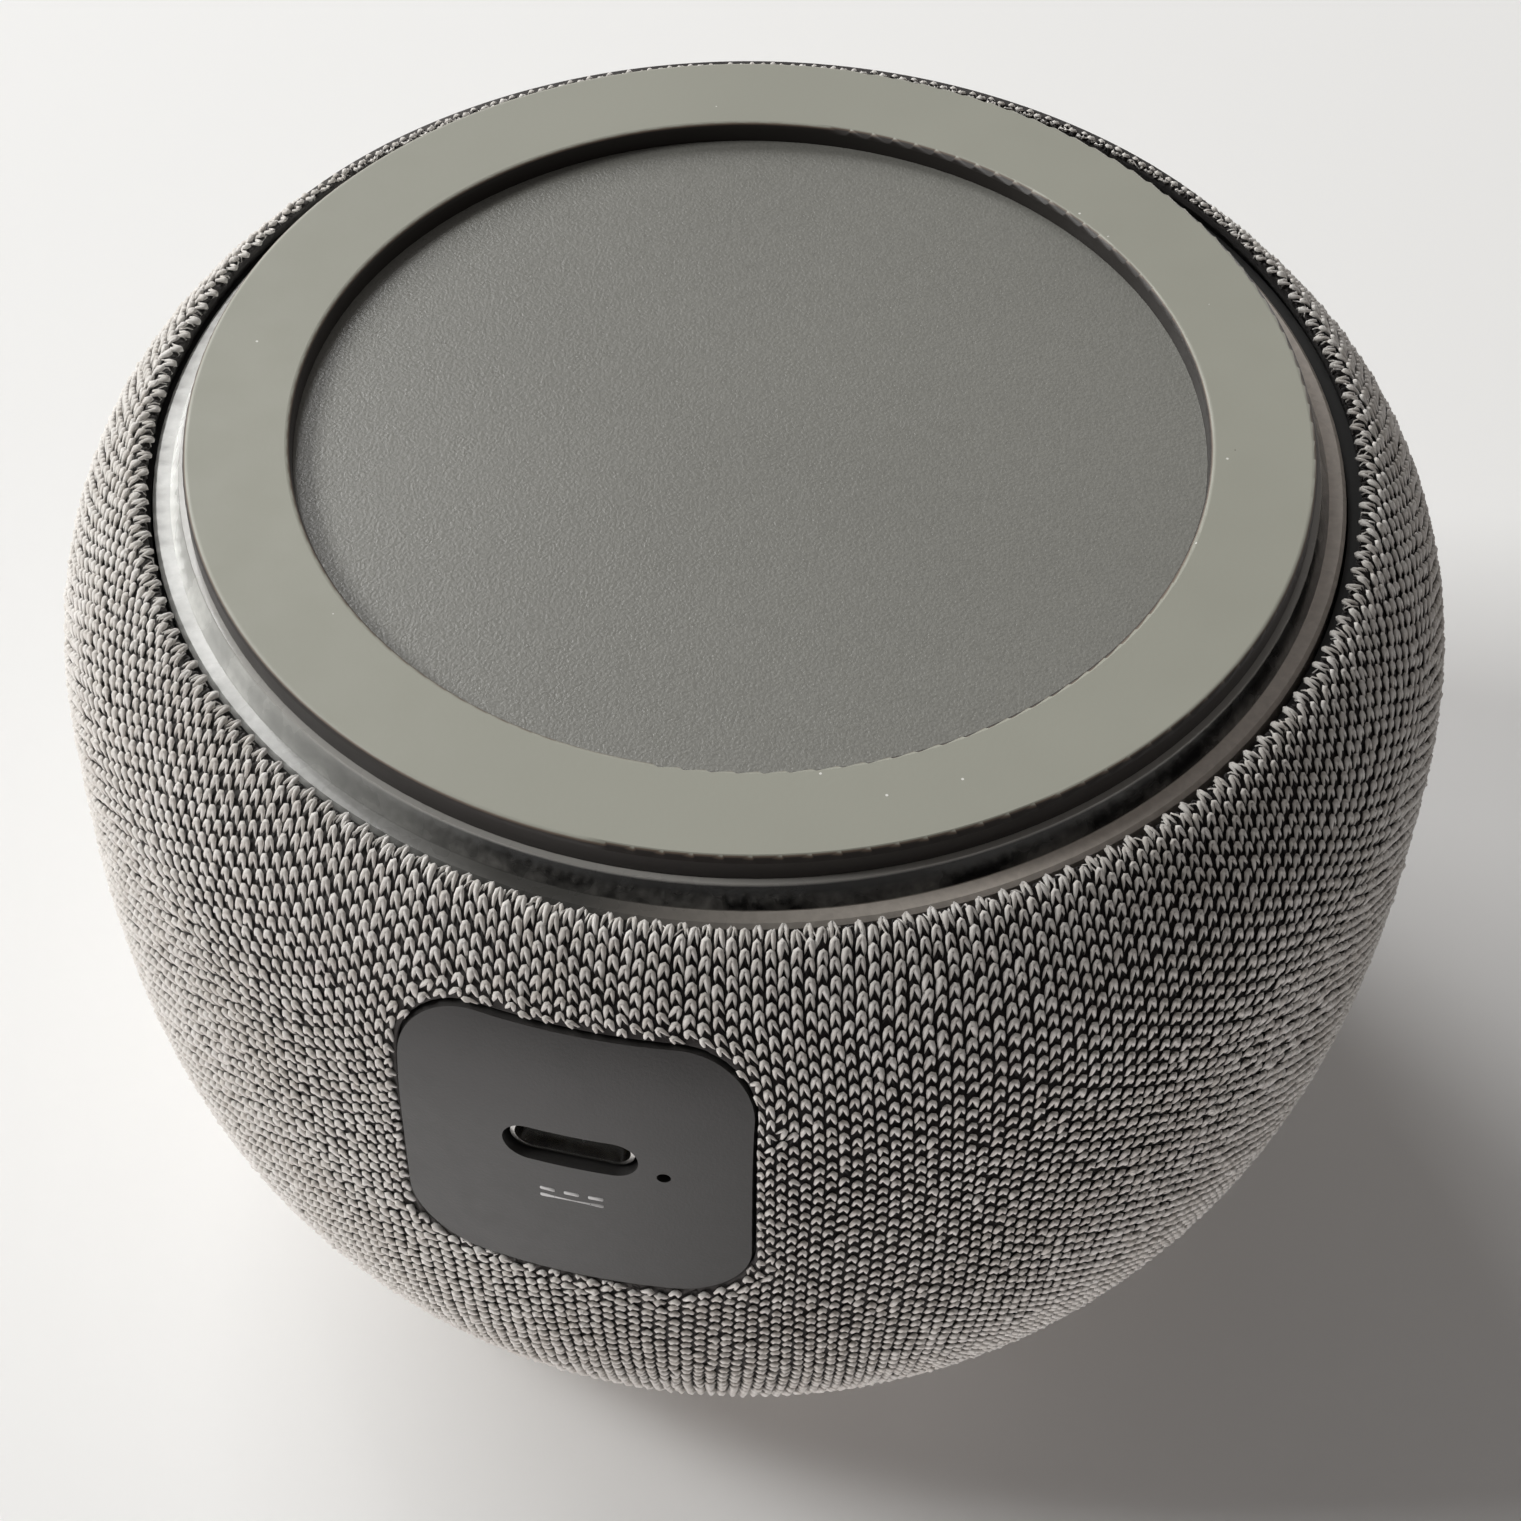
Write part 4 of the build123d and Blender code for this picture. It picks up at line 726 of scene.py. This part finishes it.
def inked(name, outlines, node_name, to_point, direction, thickness, graph, body):
    """Thin raised ink laid on a CAD face: each outline is filled by a fan, dropped on the face and given a wall."""
    points, faces = [], []
    back = Vector(direction) * -1.0
    for outline in outlines:
        middle = np.mean(outline, axis=0)
        ring = [to_point(*p) for p in outline]
        seat = cast_on(node_name, ring + [to_point(*middle)], direction)
        start, n = len(points), len(ring)
        points += [p + back * thickness for p in seat] + [p - back * 0.00002 for p in seat]
        top, low = start + n, start + n + 1
        for k in range(n):
            a, b = start + k, start + (k + 1) % n
            faces += [(a, b, top), (b, a, low + k), (b, low + k, low + (k + 1) % n), (low + (k + 1) % n, low + k, low + n)]
    return piece(name, [tuple(p) for p in points], faces, graph, body)


MARK_Z = 25.9
mark = [rounded_bar((0.0, 0.42), 4.6, 0.38, 0.12)]
mark += [rounded_bar((x, -0.42), 1.1, 0.38, 0.12) for x in (-1.75, 0.0, 1.75)]
inked(
    "port_mark", mark, "port_plate", lambda x, z: (-x * MM, 60 * MM, (MARK_Z + z) * MM), (0, -1, 0),
    0.000015, MARK_INK, "housing",
)

ICON_INK = moulded("icon_ink", (0.55, 0.55, 0.54), (0.5, 0.65), 2600, 0.000004)


def arc_band(radius, width, start, end, steps):
    """Outlines of short quads that follow an arc, in degrees."""
    out = []
    for k in range(steps):
        a = math.radians(start + (end - start) * k / steps)
        b = math.radians(start + (end - start) * (k + 1) / steps)
        inner, outer = radius - width / 2, radius + width / 2
        out.append([
            (inner * math.cos(a), inner * math.sin(a)), (outer * math.cos(a), outer * math.sin(a)),
            (outer * math.cos(b), outer * math.sin(b)), (inner * math.cos(b), inner * math.sin(b)),
        ])
    return out


ICONS = {
    "action": arc_band(1.0, 0.34, 0, 360, 32),
    "volume_up": [rounded_bar((0, 0), 2.6, 0.4, 0.15), rounded_bar((0, 0.85), 0.4, 0.9, 0.15),
                  rounded_bar((0, -0.85), 0.4, 0.9, 0.15)],
    "volume_down": [rounded_bar((0, 0), 2.6, 0.4, 0.15)],
    "mic_mute": arc_band(1.35, 0.3, 0, 360, 36) + [
        [(-1.06, -0.85), (-0.85, -1.06), (1.06, 0.85), (0.85, 1.06)]],
}
for control, outlines in ICONS.items():
    low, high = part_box(control + "_button")
    centre = (low + high) / 2

    def above(x, y, centre=centre):
        return (centre.x - x * MM, centre.y - y * MM, 0.08)

    inked(f"{control}_icon", outlines, f"{control}_button", above, (0, 0, -1), 0.00001, ICON_INK, f"{control}_key")


# ---------------------------------------------------------------- stage, lights and camera
def floor(name, height, up, inner, tone):
    """A pale floor that shows and reflects from one side only, with nothing under the object itself. The one that faces down also clears away where it is skimmed edge on."""
    steps, reach = 96, 6.0
    turn = np.arange(steps) * 2 * math.pi / steps
    rims = [np.stack([r * np.cos(turn), r * np.sin(turn), np.full(steps, height)], axis=1) for r in (inner, reach)]
    ids = np.arange(steps)
    after = (ids + 1) % steps
    faces = np.stack([ids, ids + steps, after + steps, after], axis=1)
    if not up:
        faces = faces[:, ::-1]
    mesh = bpy.data.meshes.new(name)
    mesh.from_pydata([tuple(p) for p in np.concatenate(rims)], [], [tuple(int(i) for i in f) for f in faces])
    made = bpy.data.objects.new(name, mesh)
    bpy.context.scene.collection.objects.link(made)
    material = bpy.data.materials.new(name)
    material.use_nodes = True
    tree = material.node_tree
    shader = tree.nodes["Principled BSDF"]
    shader.inputs["Base Color"].default_value = (tone, tone, tone, 1.0)
    shader.inputs["Roughness"].default_value = 0.9
    shader.inputs["Specular IOR Level"].default_value = 0.1
    clear = tree.nodes.new("ShaderNodeBsdfTransparent")
    side = tree.nodes.new("ShaderNodeNewGeometry").outputs["Backfacing"]
    weight = tree.nodes.new("ShaderNodeLayerWeight")
    weight.inputs["Blend"].default_value = 0.5
    skimmed = tree.nodes.new("ShaderNodeMapRange")
    skimmed.inputs["From Min"].default_value, skimmed.inputs["From Max"].default_value = 0.6, 0.74
    tree.links.new(weight.outputs["Facing"], skimmed.inputs["Value"])
    seen = tree.nodes.new("ShaderNodeMath")
    seen.operation = "MULTIPLY"
    tree.links.new(skimmed.outputs["Result"], seen.inputs[0])
    tree.links.new(tree.nodes.new("ShaderNodeLightPath").outputs["Is Camera Ray"], seen.inputs[1])
    hidden = tree.nodes.new("ShaderNodeMath")
    hidden.operation = "MAXIMUM"
    tree.links.new(side, hidden.inputs[0])
    if not up:
        tree.links.new(seen.outputs[0], hidden.inputs[1])
    mix = tree.nodes.new("ShaderNodeMixShader")
    tree.links.new(hidden.outputs[0], mix.inputs[0])
    tree.links.new(shader.outputs[0], mix.inputs[1])
    tree.links.new(clear.outputs[0], mix.inputs[2])
    tree.links.new(mix.outputs[0], tree.nodes["Material Output"].inputs["Surface"])
    made.data.materials.append(material)
    made.visible_shadow = False
    return made


table = floor("table", CAD_BOX[1].z + 0.00005, up=False, inner=0.036, tone=0.86)
shelf = floor("shelf", CAD_BOX[0].z - 0.00005, up=True, inner=0.0, tone=0.68)
shelf.visible_diffuse = False
shelf.visible_glossy = False
shelf.visible_transmission = False

TURN = math.radians(-13.2)      # the port faces this far round from the photograph's near side


def from_photo(x, y, z):
    """A direction or point of the upturned object on the photograph's table, in the CAD frame."""
    return Matrix.Rotation(TURN, 3, "Z") @ Vector((x, -y, -z))


def lamp(name, at, width, height, energy, colour, target=(0, 0, 0.03)):
    data = bpy.data.lights.new(name, "AREA")
    data.shape = "RECTANGLE"
    data.size, data.size_y = width, height
    data.energy = energy
    data.color = colour
    made = bpy.data.objects.new(name, data)
    bpy.context.scene.collection.objects.link(made)
    made.location = at
    made.rotation_mode = "QUATERNION"
    made.rotation_quaternion = (Vector(target) - Vector(at)).to_track_quat("-Z", "Y")
    return made


def towards(azimuth, elevation, distance):
    """A place seen from the upturned object at an azimuth and elevation in degrees, in the CAD frame."""
    turn, rise = math.radians(azimuth), math.radians(elevation)
    return from_photo(
        math.cos(rise) * math.cos(turn), math.cos(rise) * math.sin(turn), math.sin(rise)
    ) * distance


lamp("window_left", towards(177, 38, 2.0), 0.6, 0.6, 23.0, (1.0, 1.0, 0.98))
lamp("window_wide", towards(134, 26, 2.0), 1.1, 0.6, 22.0, (1.0, 1.0, 0.98))
lamp("window_far", towards(117, 43, 2.0), 0.7, 0.6, 9.0, (1.0, 1.0, 0.99))
lamp("ceiling", (-0.25, -0.3, 0.9), 0.6, 0.6, 2.4, (1.0, 1.0, 1.0))
lamp("bounce", towards(236, -34, 1.1), 0.8, 0.8, 7.0, (1.0, 0.94, 0.93))

world = bpy.data.worlds.new("room")
bpy.context.scene.world = world
world.use_nodes = True
tree = world.node_tree
background = tree.nodes["Background"]
sky = tree.nodes.new("ShaderNodeTexCoord").outputs["Generated"]
split = tree.nodes.new("ShaderNodeSeparateXYZ")
tree.links.new(sky, split.inputs[0])
shift = tree.nodes.new("ShaderNodeMapRange")
shift.inputs["From Min"].default_value = -0.6
shift.inputs["From Max"].default_value = 0.6
shift.inputs["To Min"].default_value = 0.24
shift.inputs["To Max"].default_value = 0.62
tree.links.new(split.outputs["Z"], shift.inputs["Value"])
fall = tree.nodes.new("ShaderNodeMapRange")
fall.inputs["From Min"].default_value = -1.0
fall.inputs["From Max"].default_value = 1.0
fall.inputs["To Min"].default_value = 1.25
fall.inputs["To Max"].default_value = 0.2
tree.links.new(split.outputs["Y"], fall.inputs["Value"])
both = tree.nodes.new("ShaderNodeMath")
both.operation = "MULTIPLY"
tree.links.new(shift.outputs["Result"], both.inputs[0])
tree.links.new(fall.outputs["Result"], both.inputs[1])
tree.links.new(both.outputs[0], background.inputs["Strength"])
background.inputs["Color"].default_value = (1.0, 0.945, 0.91, 1.0)


def photo_camera():
    """The camera of the photograph: where it stood over the upturned foot, and how it was held."""
    away, rise = 0.25975, math.radians(44.0)
    pan, tilt, roll = (math.radians(a) for a in (-0.21, -5.57, -0.53))
    place = Vector((0, -math.cos(rise), math.sin(rise))) * away
    forward = -place.normalized()
    right = Vector((1, 0, 0))
    up = right.cross(forward)
    turn = Matrix.Rotation(pan, 3, up)
    forward, right = turn @ forward, turn @ right
    turn = Matrix.Rotation(tilt, 3, right)
    forward, up = turn @ forward, turn @ up
    turn = Matrix.Rotation(roll, 3, forward)
    right, up = turn @ right, turn @ up
    data = bpy.data.cameras.new("camera")
    data.lens, data.sensor_width = 82.88, 36.0
    data.clip_start, data.clip_end = 0.01, 50.0
    made = bpy.data.objects.new("camera", data)
    bpy.context.scene.collection.objects.link(made)
    axes = [from_photo(*v) for v in (right, up, -forward)]
    frame3 = Matrix((axes[0], axes[1], axes[2])).transposed()
    made.matrix_world = Matrix.Translation(from_photo(*place)) @ frame3.to_4x4()
    bpy.context.scene.camera = made


photo_camera()
bpy.context.scene.view_settings.view_transform = "Standard"
